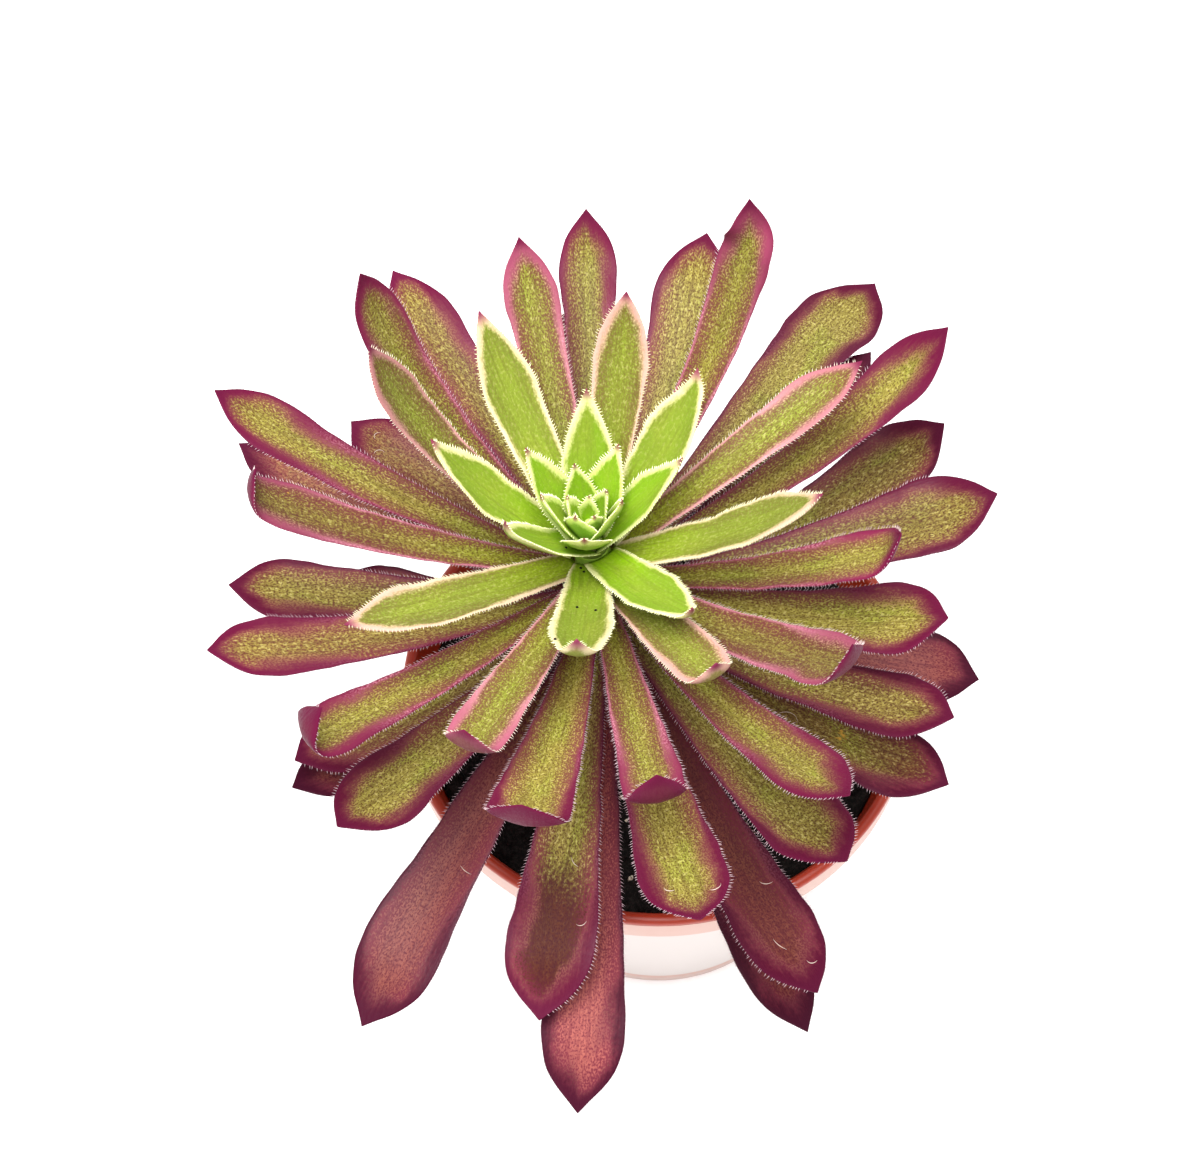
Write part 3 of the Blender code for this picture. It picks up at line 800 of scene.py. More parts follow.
        # A thin wax over soft flesh gives broad, low highlights along each blade.
        look = Look("waxy_aeonium_leaf", IOR=1.40)
        found = dict(vars(self))
        for name in LEAF_NUMBERS:
            found[name] = look.add_node(Kind.NUMBER, attribute_name=name)
        place = look.add_node(Kind.PLACE, attribute_name="place")
        for name in ("grain", "fleck", "streak", "patch"):
            across, along = found[name]
            point = look.add_node(Kind.MAPPING, place, (1 / across, 1 / along, 1.0))
            found[name] = look.add_node(Kind.NOISE, point, 1.0, 2.0)
        for name in ("blade", "base", "margin", "shoulder", "inner_line", "tip", "underside", "pigment"):
            found[name] = look.add_node(Kind.RAMP, found["age"], stops=found[name])
        for name, kind, *values in self.recipe:
            found[name] = look.add_node(kind, *(found.get(value, value) for value in values))
        return look.linked(
            Base_Color=found["colour"],
            Normal=found["bump"],
            Roughness=found["gloss"],
            Specular_IOR_Level=found["shine"],
        )


@dataclass(frozen=True)
class HairHorn:
    """Stiff dry hairs: pale cream on young leaves, a dusty pink on old ones."""

    stops: tuple = ((0.12, "#fbfbc4"), (0.35, "#d6b9c0"))

    def material(self) -> bpy.types.Material:
        """Builds the hairs' material, which reads the leaf's age.

        Returns:
            The material.
        """
        # Dead, air-filled cells scatter the light, so the fringe reads as a bright line.
        look = Look("leaf_hair_horn", Roughness=0.55, IOR=1.45)
        age = look.add_node(Kind.NUMBER, attribute_name="age")
        return look.linked(Base_Color=look.add_node(Kind.RAMP, age, stops=self.stops))


@dataclass(frozen=True)
class HealedScar:
    """Corky scar tissue where the skin was scraped: thin, cream-white and a little glossy."""

    tint: str = "#cdbcae"

    def material(self) -> bpy.types.Material:
        """Builds the scars' material."""
        # Dry raised tissue catches the light as a fine pale line.
        return Look("healed_leaf_scar", Roughness=0.4, Base_Color=self.tint).material


@dataclass(frozen=True)
class StemBark:
    """Young cork over a green stem: grey-brown, fissured along the stem, paler on the scars."""

    # From the furrows to the ridges and the scars.
    stops: tuple = ((0.32, "#3c2c1c"), (0.62, "#8a7354"), (0.80, "#a8946f"))
    fresh: str = "#93b838"
    cork_top: float = 116.0 * MM
    cork_fade: float = 10.0 * MM
    fissure: tuple[float, float, float] = (0.5 * MM, 0.5 * MM, 2.5 * MM)
    depth: float = 0.3 * MM

    def material(self) -> bpy.types.Material:
        """Builds the bark's material.

        Returns:
            The material.
        """
        # Dry cork has no gloss, so it gives the eye only its rough grain.
        look = Look("young_cork_bark", Roughness=0.85)
        point = look.add_node(Kind.POINT)
        along = look.add_node(Kind.MAPPING, point, tuple(1 / size for size in self.fissure))
        grain = look.add_node(Kind.NOISE, along, 1.0, 4.0, 0.65)
        bark = look.add_node(Kind.RAMP, grain, stops=self.stops)
        height = look.add_node(Kind.HEIGHT, point)
        ends = (self.cork_top, self.cork_top + self.cork_fade)
        green = look.add_node(Kind.STEP, height, *ends, 0.0, 1.0)
        return look.linked(
            Base_Color=look.add_node(Kind.BLEND, green, bark, self.fresh),
            Normal=look.add_node(Kind.BUMP, 0.8, self.depth, grain),
        )


@dataclass(frozen=True)
class MoistPeat:
    """Moist black peat: matt crumbs that swallow the light, with a damp glint here and there."""

    stops: tuple = ((0.40, "#030201"), (0.75, "#170d07"))
    crumb: float = 0.8 * MM
    depth: float = 0.5 * MM

    def material(self) -> bpy.types.Material:
        """Builds the peat's material.

        Returns:
            The material.
        """
        # Nearly black and rough, so that only crumb edges catch the light.
        look = Look("moist_black_peat", Specular_IOR_Level=0.2)
        grain = look.add_node(Kind.NOISE, look.add_node(Kind.POINT), 1 / self.crumb, 5.0, 0.7)
        return look.linked(
            Base_Color=look.add_node(Kind.RAMP, grain, stops=self.stops),
            Normal=look.add_node(Kind.BUMP, 0.9, self.depth, grain),
            Roughness=look.add_node(Kind.STEP, grain, 0.45, 0.65, 0.90, 0.55),
        )


@dataclass(frozen=True)
class MineralGrain:
    """Expanded perlite, a white volcanic glass foam, dusted with peat."""

    stops: tuple = ((0.38, "#5b5146"), (0.60, "#d8cfb8"))
    pore: float = 0.5 * MM
    depth: float = 0.2 * MM

    def material(self) -> bpy.types.Material:
        """Builds the grains' material.

        Returns:
            The material.
        """
        # Chalky foam: dull and pale, so the grains dot the black peat.
        look = Look("perlite_foam", Roughness=0.9)
        grain = look.add_node(Kind.NOISE, look.add_node(Kind.POINT), 1 / self.pore, 3.0)
        return look.linked(
            Base_Color=look.add_node(Kind.RAMP, grain, stops=self.stops),
            Normal=look.add_node(Kind.BUMP, 0.7, self.depth, grain),
        )


@dataclass(frozen=True)
class FadedPolypropylene:
    """Thermoformed terracotta polypropylene, faded to a chalky white on its sun side, with partly
    painted shade in the tan band at its foot.
    """

    # From the fresh inside to the foot, the collar and the body, by how faded each is; the foot's tan is
    # partly painted shade.
    stops: tuple = ((0.14, "#9a2a0c"), (0.44, "#c08a7a"), (0.64, "#c4a095"), (0.94, "#c9c0bc"))
    cloud: float = 6.0 * MM
    cloudiness: float = 0.08
    stipple: float = 0.5 * MM
    depth: float = 0.1 * MM

    def material(self) -> bpy.types.Material:
        """Builds the pot's material, which reads how faded each part of the wall is.

        Returns:
            The material.
        """
        # Satin moulded plastic: a soft highlight along the lip, dull where it has chalked.
        look = Look("faded_polypropylene", IOR=1.49)
        faded = look.add_node(Kind.NUMBER, attribute_name="faded")
        point = look.add_node(Kind.POINT)
        clouds = look.add_node(Kind.NOISE, point, 1 / self.cloud, 3.0)
        fine = look.add_node(Kind.NOISE, point, 1 / self.stipple, 2.0)
        # The map holds the fading, and the painted shade in the band at the foot.
        uneven = look.add_node(Kind.SUM, clouds, self.cloudiness, faded)
        return look.linked(
            Base_Color=look.add_node(Kind.RAMP, uneven, stops=self.stops),
            Normal=look.add_node(Kind.BUMP, 0.15, self.depth, fine),
            Roughness=look.add_node(Kind.STEP, faded, 0.2, 0.8, 0.40, 0.62),
        )


@dataclass(frozen=True)
class LitAcrylic:
    """White acrylic sheet, lit a little from below as a light table is."""

    tint: str = "#f9f9f9"
    light: str = "#ffffff"
    glow: float = 0.12

    def material(self) -> bpy.types.Material:
        """Builds the floor's material."""
        # Matt white with its own faint light, so that shadows hardly mark it.
        glow = {"Emission_Color": self.light, "Emission_Strength": self.glow}
        return Look("lit_white_acrylic", Roughness=0.9, Base_Color=self.tint, **glow).material


# --- The leaves --------------------------------------------------------------------------


@dataclass
class Blade:
    """One leaf: a closed fleshy blade with rounded margins, and stiff hairs along them."""

    shape: LeafShape
    age: float
    rows: int = 56
    upper_columns: int = 16
    lower_columns: int = 10
    # How deep the channel is, from where to where it flattens out, and how far.
    channel: float = 0.10
    flat_from: float = 0.76
    flat_to: float = 0.94
    flatness: float = 0.8
    groove: float = 0.05 * MM
    groove_width: float = 0.30
    edge: float = 0.7 * MM
    edge_thins_from: float = 0.94
    flesh_thins_from: float = 0.8
    spur: float = 0.5 * MM
    spur_from: float = 0.95
    pinch: float = 0.25
    pinch_from: float = 0.955
    # The margins' unevenness: its share of the width, its waves along the blade and its row
    # of noise.
    unevenness: tuple = ((0.06, 6.0, 5.0), (0.045, 19.0, 7.0))
    wave: float = 0.50 * MM
    waves: float = 6.5
    wave_row: float = 11.0
    wave_full_width: float = 5 * MM
    # The hairs: the stretch of margin that they stand on, their spacing and their size.
    hairs_from: float = 0.06
    hairs_to: float = 0.985
    hair_line: float = 0.995
    hair_steps: int = 240
    hair_gap: float = 0.66 * MM
    hair_length: float = 0.72 * MM
    hair_radius: float = 0.070 * MM
    young_hair_radius: float = 0.205 * MM
    young_until: float = 0.35
    hair_root: float = 0.6
    scar_width: float = 0.075 * MM
    scar_steps: int = 10

    def noise_at(self, shares: np.ndarray, scale: float, row: float) -> np.ndarray:
        """Gives smooth noise along the blade, its own for each leaf and row."""
        seed = 3.7 * self.shape.number
        return np.array([rippled((share * scale, row, seed)) for share in shares])

    def outline(self, shares: np.ndarray, side: int) -> np.ndarray:
        """Works out one margin, uneven and pinched in at the tip.

        Args:
            shares: places along the blade, from 0 to 1.
            side: -1 for the one margin or 1 for the other.

        Returns:
            The half width on that side, in metres.
        """
        half = self.shape.half_widths(np.minimum(shares, 1.0))
        uneven = sum(
            depth * self.noise_at(shares, waves, row * side)
            for depth, waves, row in self.unevenness
        )
        uneven = 1 + uneven * smooth(shares, 0.1, 0.3)
        pinched = 1 - self.pinch * smooth(shares, self.pinch_from, 1.0)
        return half * uneven * pinched

    def rise(self, shares: np.ndarray, across: np.ndarray, half: np.ndarray) -> np.ndarray:
        """Works out how high the blade stands: the channel's sides, their waves, the groove.

        Args:
            shares: places along the blade, from 0 to 1.
            across: one row of places across it, from -1 to 1.
            half: half the blade's width at each place, in metres.

        Returns:
            The height over the blade's middle line, one row for each share.
        """
        along, out = shares[:, None], np.abs(across)
        level = 1 - self.flatness * smooth(along, self.flat_from, self.flat_to)
        rows = (-self.wave_row, self.wave_row)
        ripples = [self.noise_at(shares, self.waves, row)[:, None] for row in rows]
        ripple = np.where(across < 0, *ripples)
        waving = smooth(along, 0.1, 0.4) * level * np.clip(half / self.wave_full_width, 0, 1) ** 2
        rise = self.channel * 2 * half * out**2 * level + self.wave * ripple * out**2 * waving
        return rise - self.groove * np.exp(-((out / self.groove_width) ** 2)) * (1 - along**4)

    def surface(self, shares: np.ndarray, across: np.ndarray, below: np.ndarray) -> tuple:
        """Works out the blade's skin.

        Args:
            shares: places along the blade, from 0 to 1.
            across: places across it, from -1 at one margin to 1 at the other.
            below: 0 for places on the upper face and 1 for those on the lower.

        Returns:
            The points, one row of them for each share, and each point's way across in metres
            and distance from the margin in metres.
        """
        middles, sides, ups, aheads = self.shape.frames(shares)
        middles = middles + aheads * (self.spur * smooth(shares, self.spur_from, 1.0))[:, None]
        one, other = self.outline(shares, -1), self.outline(shares, 1)
        along, across = shares[:, None], across[None, :]
        half = np.where(across < 0, one[:, None], other[:, None])
        way = across * half
        out = np.abs(across)
        rise = self.rise(shares, across, half)
        roundness = np.sqrt(np.clip(1 - out**8, 0, 1))
        thinning = np.clip((1 - along) / (1 - self.edge_thins_from), 0, 1)
        edge = self.edge * np.sqrt(thinning)
        ending = np.clip((along - self.flesh_thins_from) / (1 - self.flesh_thins_from), 0, 1)
        flesh = np.maximum(self.shape.thickness - self.edge, 0) * (1 - ending**2) * (1 - out**1.5)
        top = rise - 0.5 * edge * (1 - roundness)
        bottom = rise - 0.5 * edge * (1 + roundness) - flesh * roundness
        height = np.where(below[None, :] > 0, bottom, top)
        points = middles[:, None] + way[..., None] * sides[:, None]
        points = points + height[..., None] * ups[:, None]
        slope = np.gradient(0.5 * (one + other), shares * self.shape.length)
        rim = (half - np.abs(way)) / np.sqrt(1 + slope**2)[:, None]
        return points, way, rim

    def shares(self) -> np.ndarray:
        """Gives the rows' places along the blade, closer near its tip."""
        return 1 - (1 - np.arange(self.rows + 1) / self.rows) ** 1.4

    def body(self) -> bmesh.types.BMesh:
        """Makes the blade as a closed tube, from a grid that is wrapped round its section.

        Returns:
            The blade without its hairs.
        """
        bm = bmesh.new()
        columns = self.upper_columns + self.lower_columns
        bmesh.ops.create_grid(bm, x_segments=self.rows, y_segments=columns, size=1)
        turns = np.arange(columns + 1)
        upper = turns <= self.upper_columns
        over = np.sin(np.pi * (turns / self.upper_columns - 0.5))
        under = np.sin(np.pi * (0.5 - (turns - self.upper_columns) / self.lower_columns))
        across = np.where(upper, over, under)
        shares = self.shares()
        points, ways, rims = self.surface(shares, across, np.where(upper, 0, 1))
        layers = self.layers(bm)
        for vertex in bm.verts:
            row = round((vertex.co.x + 1) / 2 * self.rows)
            column = round((vertex.co.y + 1) / 2 * columns)
            vertex.co = points[row, column]
            vertex[layers["share"]] = shares[row]
            vertex[layers["rim"]] = max(0.0, rims[row, column])
            vertex[layers["upper"]] = float(upper[column])
            vertex[layers["age"]] = self.age
            along = shares[row] * self.shape.length
            vertex[layers["place"]] = (ways[row, column], along, self.shape.number)
        close_skin(bm, columns)
        return bm

    def layers(self, bm: bmesh.types.BMesh) -> dict:
        """Finds or makes the layers that hold what the cuticle reads.

        Args:
            bm: the bmesh that has them.

        Returns:
            The layers by name.
        """
        numbers = bm.verts.layers.float
        found = {name: numbers.get(name) or numbers.new(name) for name in LEAF_NUMBERS}
        places = bm.verts.layers.float_vector
        found["place"] = places.get("place") or places.new("place")
        return found

    def add_hairs(self, bm: bmesh.types.BMesh, draw: random.Random) -> None:
        """Sets a fringe of stiff hairs along both margins.

        Args:
            bm: the blade, which takes the hairs.
            draw: the leaf's own random draws.
        """
        fine = np.linspace(self.hairs_from, self.hairs_to, self.hair_steps)
        _, sides, ups, aheads = self.shape.frames(fine)
        for side in (-1, 1):
            points, _, _ = self.surface(fine, np.array([self.hair_line * side]), np.array([0]))
            margin = points[:, 0, :]
            steps = np.linalg.norm(np.diff(margin, axis=0), axis=1)
            run = np.concatenate([[0], np.cumsum(steps)])
            place = self.hair_gap * draw.random()
            while place < run[-1]:
                i = int(np.searchsorted(run, place))
                # Hairs are shorter near the leaf's root, and all lean towards its tip.
                length = self.hair_length * draw.uniform(0.7, 1.35)
                length *= 0.55 + 0.45 * float(smooth(fine[i], self.hairs_from, 0.35))
                lean = 0.45 + 0.35 * draw.random()
                aim = side * sides[i] + lean * aheads[i] + draw.uniform(-0.1, 0.35) * ups[i]
                self.add_hair(bm, Vector(margin[i]), Vector(aim).normalized(), length)
                place += self.hair_gap * draw.uniform(0.7, 1.3)

    def add_hair(self, bm: bmesh.types.BMesh, root: Vector, aim: Vector, length: float) -> None:
        """Sets one stiff hair, a slim three-sided cone, thicker on a young leaf.

        Args:
            bm: the blade, which takes the hair.
            root: where it stands on the margin.
            aim: the unit vector that it follows.
            length: its length in metres.
        """
        youth = max(0.0, 1 - self.age / self.young_until)
        radius = self.hair_radius + (self.young_hair_radius - self.hair_radius) * youth
        centre = root + (0.5 * length - self.hair_root * radius) * aim
        turn = Vector((0, 0, 1)).rotation_difference(aim).to_matrix().to_4x4()
        made = bmesh.ops.create_cone(
            bm,
            cap_ends=True,
            segments=3,
            radius1=radius,
            radius2=0,
            depth=length,
            matrix=Matrix.Translation(centre) @ turn,
        )
        age = bm.verts.layers.float["age"]
        for vertex in made["verts"]:
            vertex[age] = self.age
            for face in vertex.link_faces:
                face.material_index = 1

    def upper_point(self, share: float, across: float) -> Vector:
        """Gives the point of the upper face at this place along and across the blade."""
        shares = np.array([share, share + 0.001])
        return Vector(self.surface(shares, np.array([across]), np.array([0]))[0][0, 0])

    def add_scratch(self, bm: bmesh.types.BMesh, mark: Mark) -> None:
        """Lays one thin raised scar, bent like a hair, on the upper face.

        Args:
            bm: the bmesh that takes it.
            mark: where it lies and how long and bent it is.
        """
        half = float(self.shape.half_widths(np.array([mark.share]))[0])
        steps = self.scar_steps
        share, way = mark.share, mark.across * half
        heading = math.radians(mark.heading - 0.5 * mark.bend)
        ring = []
        for step in range(steps + 1):
            place = self.upper_point(share, way / half)
            _, side, up, ahead = (Vector(part[0]) for part in self.shape.frames(np.array([share])))
            across = math.cos(heading) * side - math.sin(heading) * ahead
            width = self.scar_width * math.sin(math.pi * (0.06 + 0.88 * step / steps))
            corners = (place - width * across, place + width * across, place + 1.3 * width * up)
            ring.append([bm.verts.new(corner) for corner in corners])
            stride = mark.length * MM / steps
            share += stride * math.cos(heading) / self.shape.length
            way = max(-0.95 * half, min(0.95 * half, way + stride * math.sin(heading)))
            heading += math.radians(mark.bend) / steps
        for one, two in zip(ring, ring[1:]):
            for i in range(3):
                bm.faces.new((one[i], one[(i + 1) % 3], two[(i + 1) % 3], two[i]))
        bm.faces.new(ring[0])
        bm.faces.new(ring[-1][::-1])

    def grown(self) -> bmesh.types.BMesh:
        """Makes the whole leaf, with its own tone, flush and dried patches.

        Returns:
            The blade and its hairs.
        """
        draw = random.Random(1000 + self.shape.number)
        bm = self.body()
        layers = self.layers(bm)
        tone = draw.random()
        flush = FLUSHES.get(self.shape.number, Flush())
        patches = [mark for mark in DRY_PATCHES if mark.leaf == self.shape.number]
        centres = [self.upper_point(mark.share, mark.across) for mark in patches]
        for vertex in bm.verts:
            share = vertex[layers["share"]]
            for mark, centre in zip(patches, centres):
                away = (vertex.co - centre).length / (0.5 * mark.length * MM)
                vertex[layers["dry"]] = max(vertex[layers["dry"]], 0.62 * math.exp(-(away**2)))
            vertex[layers["tone"]] = tone
            vertex[layers["pale"]] = flush.pale
            vertex[layers["flush"]] = flush.amount * float(
                smooth(share, flush.start - 0.15, flush.start + 0.30)
            )
        self.add_hairs(bm, draw)
        return bm


@dataclass
class Rosette:
    """The bud at the stem's top and every leaf round it."""

    rule: GrowthRule
    mature_from: int = 20
    old_from: int = 42
    coarse_hairs_from: int = 16
    fine_hair_gap: float = 0.62 * MM
    fine_hair_length: float = 0.65 * MM
    bud_rows: int = 30
    bud_upper_columns: int = 12
    bud_lower_columns: int = 8
    bud_edge: float = 0.5 * MM
    bud_wave: float = 0.25 * MM
    core_sides: int = 20
    core_height: float = 2.2
    core_taper: float = 0.25
    crumb: float = 0.30 * MM

    def blade(self, number: int) -> Blade:
        """Sets up one leaf's blade.

        Args:
            number: the leaf's place on the spiral.

        Returns:
            The blade, with the bud's coarser mesh and finer hairs where it is young.
        """
        blade = Blade(shape=self.rule.shape(number), age=self.rule.age(number))
        if number < self.rule.first_leaf:
            blade.rows = self.bud_rows
            blade.upper_columns = self.bud_upper_columns
            blade.lower_columns = self.bud_lower_columns
            blade.edge = self.bud_edge
            blade.wave = self.bud_wave
        if number < self.coarse_hairs_from:
            blade.hair_gap = self.fine_hair_gap
            blade.hair_length = self.fine_hair_length
        return blade

    def build(self) -> None:
        """Builds the bud and the leaves and dresses them."""
        finishes = [LeafCuticle().material(), HairHorn().material()]
        young = range(self.rule.youngest, self.rule.first_leaf)
        bud = joined([self.core(), *(self.blade(number).grown() for number in young)])
        add_piece("growing_bud", bud, finishes, "rosette_bud")
        for number in self.rule.free_leaves():
            name = f"leaf_{number:02d}"
            leaf = self.blade(number).grown()
            add_piece(f"{name}_blade", leaf, finishes, name)
        self.lay_marks()

    def lay_marks(self) -> None:
        """Lays the scars on the leaves, and the crumbs of peat that have fallen on them."""
        scars, crumbs = bmesh.new(), bmesh.new()
        for mark in SCRATCHES:
            self.blade(mark.leaf).add_scratch(scars, mark)
        bmesh.ops.recalc_face_normals(scars, faces=scars.faces)
        for mark in SPECKS:
            turn = Matrix.Translation(self.blade(mark.leaf).upper_point(mark.share, mark.across))
            bmesh.ops.create_icosphere(crumbs, subdivisions=1, radius=self.crumb, matrix=turn)
        add_piece("leaf_scars", scars, [HealedScar().material()])
        add_piece("fallen_crumbs", crumbs, [MoistPeat().material()])

    def core(self) -> bmesh.types.BMesh:
        """Makes the blunt cone that the youngest leaves stand on.

        Returns:
            The cone.
        """
        bm = bmesh.new()
        radius = self.rule.stem_top_radius
        depth = self.core_height * radius
        bmesh.ops.create_cone(
            bm,
            cap_ends=True,
            segments=self.core_sides,
            radius1=radius,
            radius2=self.core_taper * radius,
            depth=depth,
            matrix=Matrix.Translation(Vector(self.rule.stem_top) + Vector((0, 0, 0.5 * depth))),
        )
        layer = bm.verts.layers.float.new("upper")
        for vertex in bm.verts:
            vertex[layer] = 1.0
        return bm


# --- The stem ----------------------------------------------------------------------------


@dataclass
class Stem:
    """The corky stem, ringed by the scars of the leaves that it has shed."""

    rule: GrowthRule
    rows: int = 150
    sides: int = 40
    furrow: float = 0.18 * MM
    # The bark's ridges: their share of the furrow, how many go round, their length.
    ridges: tuple = ((1.0, 3.0, 2.2 * MM), (0.5, 7.2, 1.1 * MM))
    scar_height: float = 0.50 * MM
    scar_width: float = 1.9 * MM
    scar_rise: float = 0.38 * MM

    def scars(self) -> list[tuple[float, float]]:
        """Places the scars of the shed leaves, further down the same spiral.

        Returns:
            Each scar's height in metres and azimuth in radians.
        """
        lowest = int((self.rule.top_height - self.rule.stem_foot[2]) / self.rule.height_step)
        numbers = [*self.rule.shed, *range(self.rule.last_leaf + 1, lowest)]
        shapes = [self.rule.shape(number) for number in numbers]
        return [(float(shape.root[2]), shape.azimuth) for shape in shapes]

    def radius(self, height: float, angle: float, scars: list[tuple[float, float]]) -> float:
        """Works out the bark's radius, with its ridges and scars.

        Args:
            height: the height on the stem, in metres.
            angle: the angle round it, in radians.
            scars: the scars' heights and azimuths.

        Returns:
            The radius in metres.
        """
        radius = self.rule.stem_radius(height)
        for share, turns, length in self.ridges:
            place = (turns * math.cos(angle), turns * math.sin(angle), height / length)
            radius += self.furrow * share * rippled(place)
        for scar_height, azimuth in scars:
            up = (height - scar_height) / self.scar_height
            if abs(up) < 3:
                turn = math.remainder(angle - azimuth, FULL_TURN) * radius / self.scar_width
                radius += self.scar_rise * math.exp(-(up**2) - turn**2)
        return radius

    def build(self) -> None:
        """Builds the stem from a grid wrapped round its axis, and dresses it."""
        bm = bmesh.new()
        bmesh.ops.create_grid(bm, x_segments=self.rows, y_segments=self.sides, size=1)
        foot, top = self.rule.stem_foot[2], self.rule.stem_top[2]
        scars = self.scars()
        for vertex in bm.verts:
            height = foot + (top - foot) * (vertex.co.x + 1) / 2
            angle = math.pi * vertex.co.y
            out = Vector((math.cos(angle), math.sin(angle), 0))
            vertex.co = self.radius(height, angle, scars) * out
            vertex.co += Vector(self.rule.stem_point(height))
        close_skin(bm, self.sides)
        add_piece("corky_stem", bm, [StemBark().material()], "stem")


# --- The soil ----------------------------------------------------------------------------


@dataclass(frozen=True)
class Lumps:
    """Loose lumps: how many, the least and most radius, and height as a share of width."""

    count: int
    least: float
    most: float
    flatness: float


@dataclass
class Soil:
    """The peat that fills the pot: its crumbled surface, loose crumbs, perlite and fibres."""

    top: float = 71.0 * MM
    floor: float = 1.6 * MM
    # The relief's height, and for each part of it its share, its width and its own noise.
    relief: float = 1.6 * MM
    swells: tuple = ((0.55, 11.0 * MM, 300 / 11), (0.30, 4.5 * MM, 700 / 4.5), (0.22, 1.4 * MM, 4.0))
    mound: float = 1.2 * MM
    mound_radius: float = 18.0 * MM
    edge_gap: float = 0.3 * MM
    segments: int = 120
    rings: int = 36
    # The loose lumps: which are strewn, and how small, slim, tilted and knobbly they are and
    # how far they stand up. Then the fibres.
    crumbs: Lumps = Lumps(1500, 0.25 * MM, 1.15 * MM, 0.6)
    grains: Lumps = Lumps(95, 0.35 * MM, 1.15 * MM, 0.75)
    smallness: float = 2.6
    slimmest: float = 0.6
    tilt: float = 0.5
    knobs: float = 0.22
    stand: float = 0.25
    batch: int = 100
    fibres: int = 34
    fibre_lengths: tuple[float, float] = (2.5 * MM, 7.5 * MM)
    fibre_radii: tuple[float, float] = (0.10 * MM, 0.24 * MM)
    fibre_bend: float = 0.9
    fibre_rows: int = 8
    fibre_sides: int = 5
    seed: int = 5

    def height(self, x: float, y: float) -> float:
        """Works out the soil's height: a mound, low swells, and crumbs on them.

        Args:
            x: the place's distance to the right of the pot's axis, in metres.
            y: its distance behind that axis, in metres.

        Returns:
            The height in metres.
        """
        swell = sum(
            share * rippled((x / width, y / width, own)) for share, width, own in self.swells
        )
        mound = self.mound * math.exp(-((math.hypot(x, y) / self.mound_radius) ** 2))
        return self.top + mound + self.relief * swell

    def build(self, pot: "Pot") -> None:
        """Builds the soil to fit the pot and dresses it.

        Args:
            pot: the pot that it fills.
        """
        peat, foam = MoistPeat().material(), MineralGrain().material()
        edge = pot.inner_radius(self.top) - self.edge_gap
        add_piece("peat_bed", self.bed(pot, edge), [peat], "soil")
        draw = random.Random(self.seed)
        add_piece("peat_crumbs", self.strewn(draw, self.crumbs, edge), [peat])
        add_piece("perlite_grains", self.strewn(draw, self.grains, edge), [foam])
        add_piece("peat_fibres", self.fibre_bits(draw, edge), [StemBark().material()])

    def bed(self, pot: "Pot", edge: float) -> bmesh.types.BMesh:
        """Turns the plug of peat and roughens its top.

        Args:
            pot: the pot that it fills.
            edge: the radius of the soil's disc.

        Returns:
            The plug.
        """
        bm = bmesh.new()
        outline = [(edge * ring / self.rings, self.top) for ring in range(self.rings + 1)]
        outline += [(pot.inner_radius(self.floor) - self.edge_gap, self.floor), (0, self.floor)]
        verts = [bm.verts.new((radius, 0, height)) for radius, height in outline]
        spin_outline(bm, verts, self.segments)
        for vertex in bm.verts:
            x, y, z = vertex.co
            if z > self.top - self.edge_gap:
                inward = min(1.0, (edge - math.hypot(x, y)) / MM + 0.2)
                vertex.co.z = self.top + inward * (self.height(x, y) - self.top)
        return bm

    def spot(self, draw: random.Random, edge: float) -> tuple[float, float]:
        """Draws a place on the soil, evenly over its disc.

        Args:
            draw: the soil's random draws.
            edge: the radius of the soil's disc.

        Returns:
            The place's two coordinates in metres.
        """
        radius = (edge - MM) * math.sqrt(draw.random())
        angle = draw.uniform(0, FULL_TURN)
        return radius * math.cos(angle), radius * math.sin(angle)

    def strewn(self, draw: random.Random, lumps: Lumps, edge: float) -> bmesh.types.BMesh:
        """Strews lumps over the soil, most of them small, and makes them in batches.

        Args:
            draw: the soil's random draws.
            lumps: how many lumps, and of what sizes.
            edge: the radius of the soil's disc.

        Returns:
            One bmesh with all the lumps.
        """
        parts = []
        for first in range(0, lumps.count, self.batch):
            bm = bmesh.new()
            for _ in range(min(self.batch, lumps.count - first)):
                x, y = self.spot(draw, edge)
                size = lumps.least + (lumps.most - lumps.least) * draw.random() ** self.smallness
                place = Matrix.Translation((x, y, self.height(x, y) + self.stand * size))
                turn = Matrix.Rotation(draw.uniform(0, math.pi), 4, "Z")
                tilt = Matrix.Rotation(draw.uniform(-self.tilt, self.tilt), 4, "X")
                slimness = draw.uniform(self.slimmest, 1.0)
                sizes = Matrix.Diagonal((size, size * slimness, size * lumps.flatness, 1))
                matrix = place @ turn @ tilt @ sizes
                made = bmesh.ops.create_icosphere(bm, subdivisions=1, radius=1.0, matrix=matrix)
                for vertex in made["verts"]:
                    shift = [draw.uniform(-self.knobs, self.knobs) * size for _ in range(3)]
                    vertex.co += Vector(shift)
            parts.append(bm)
        return joined(parts)

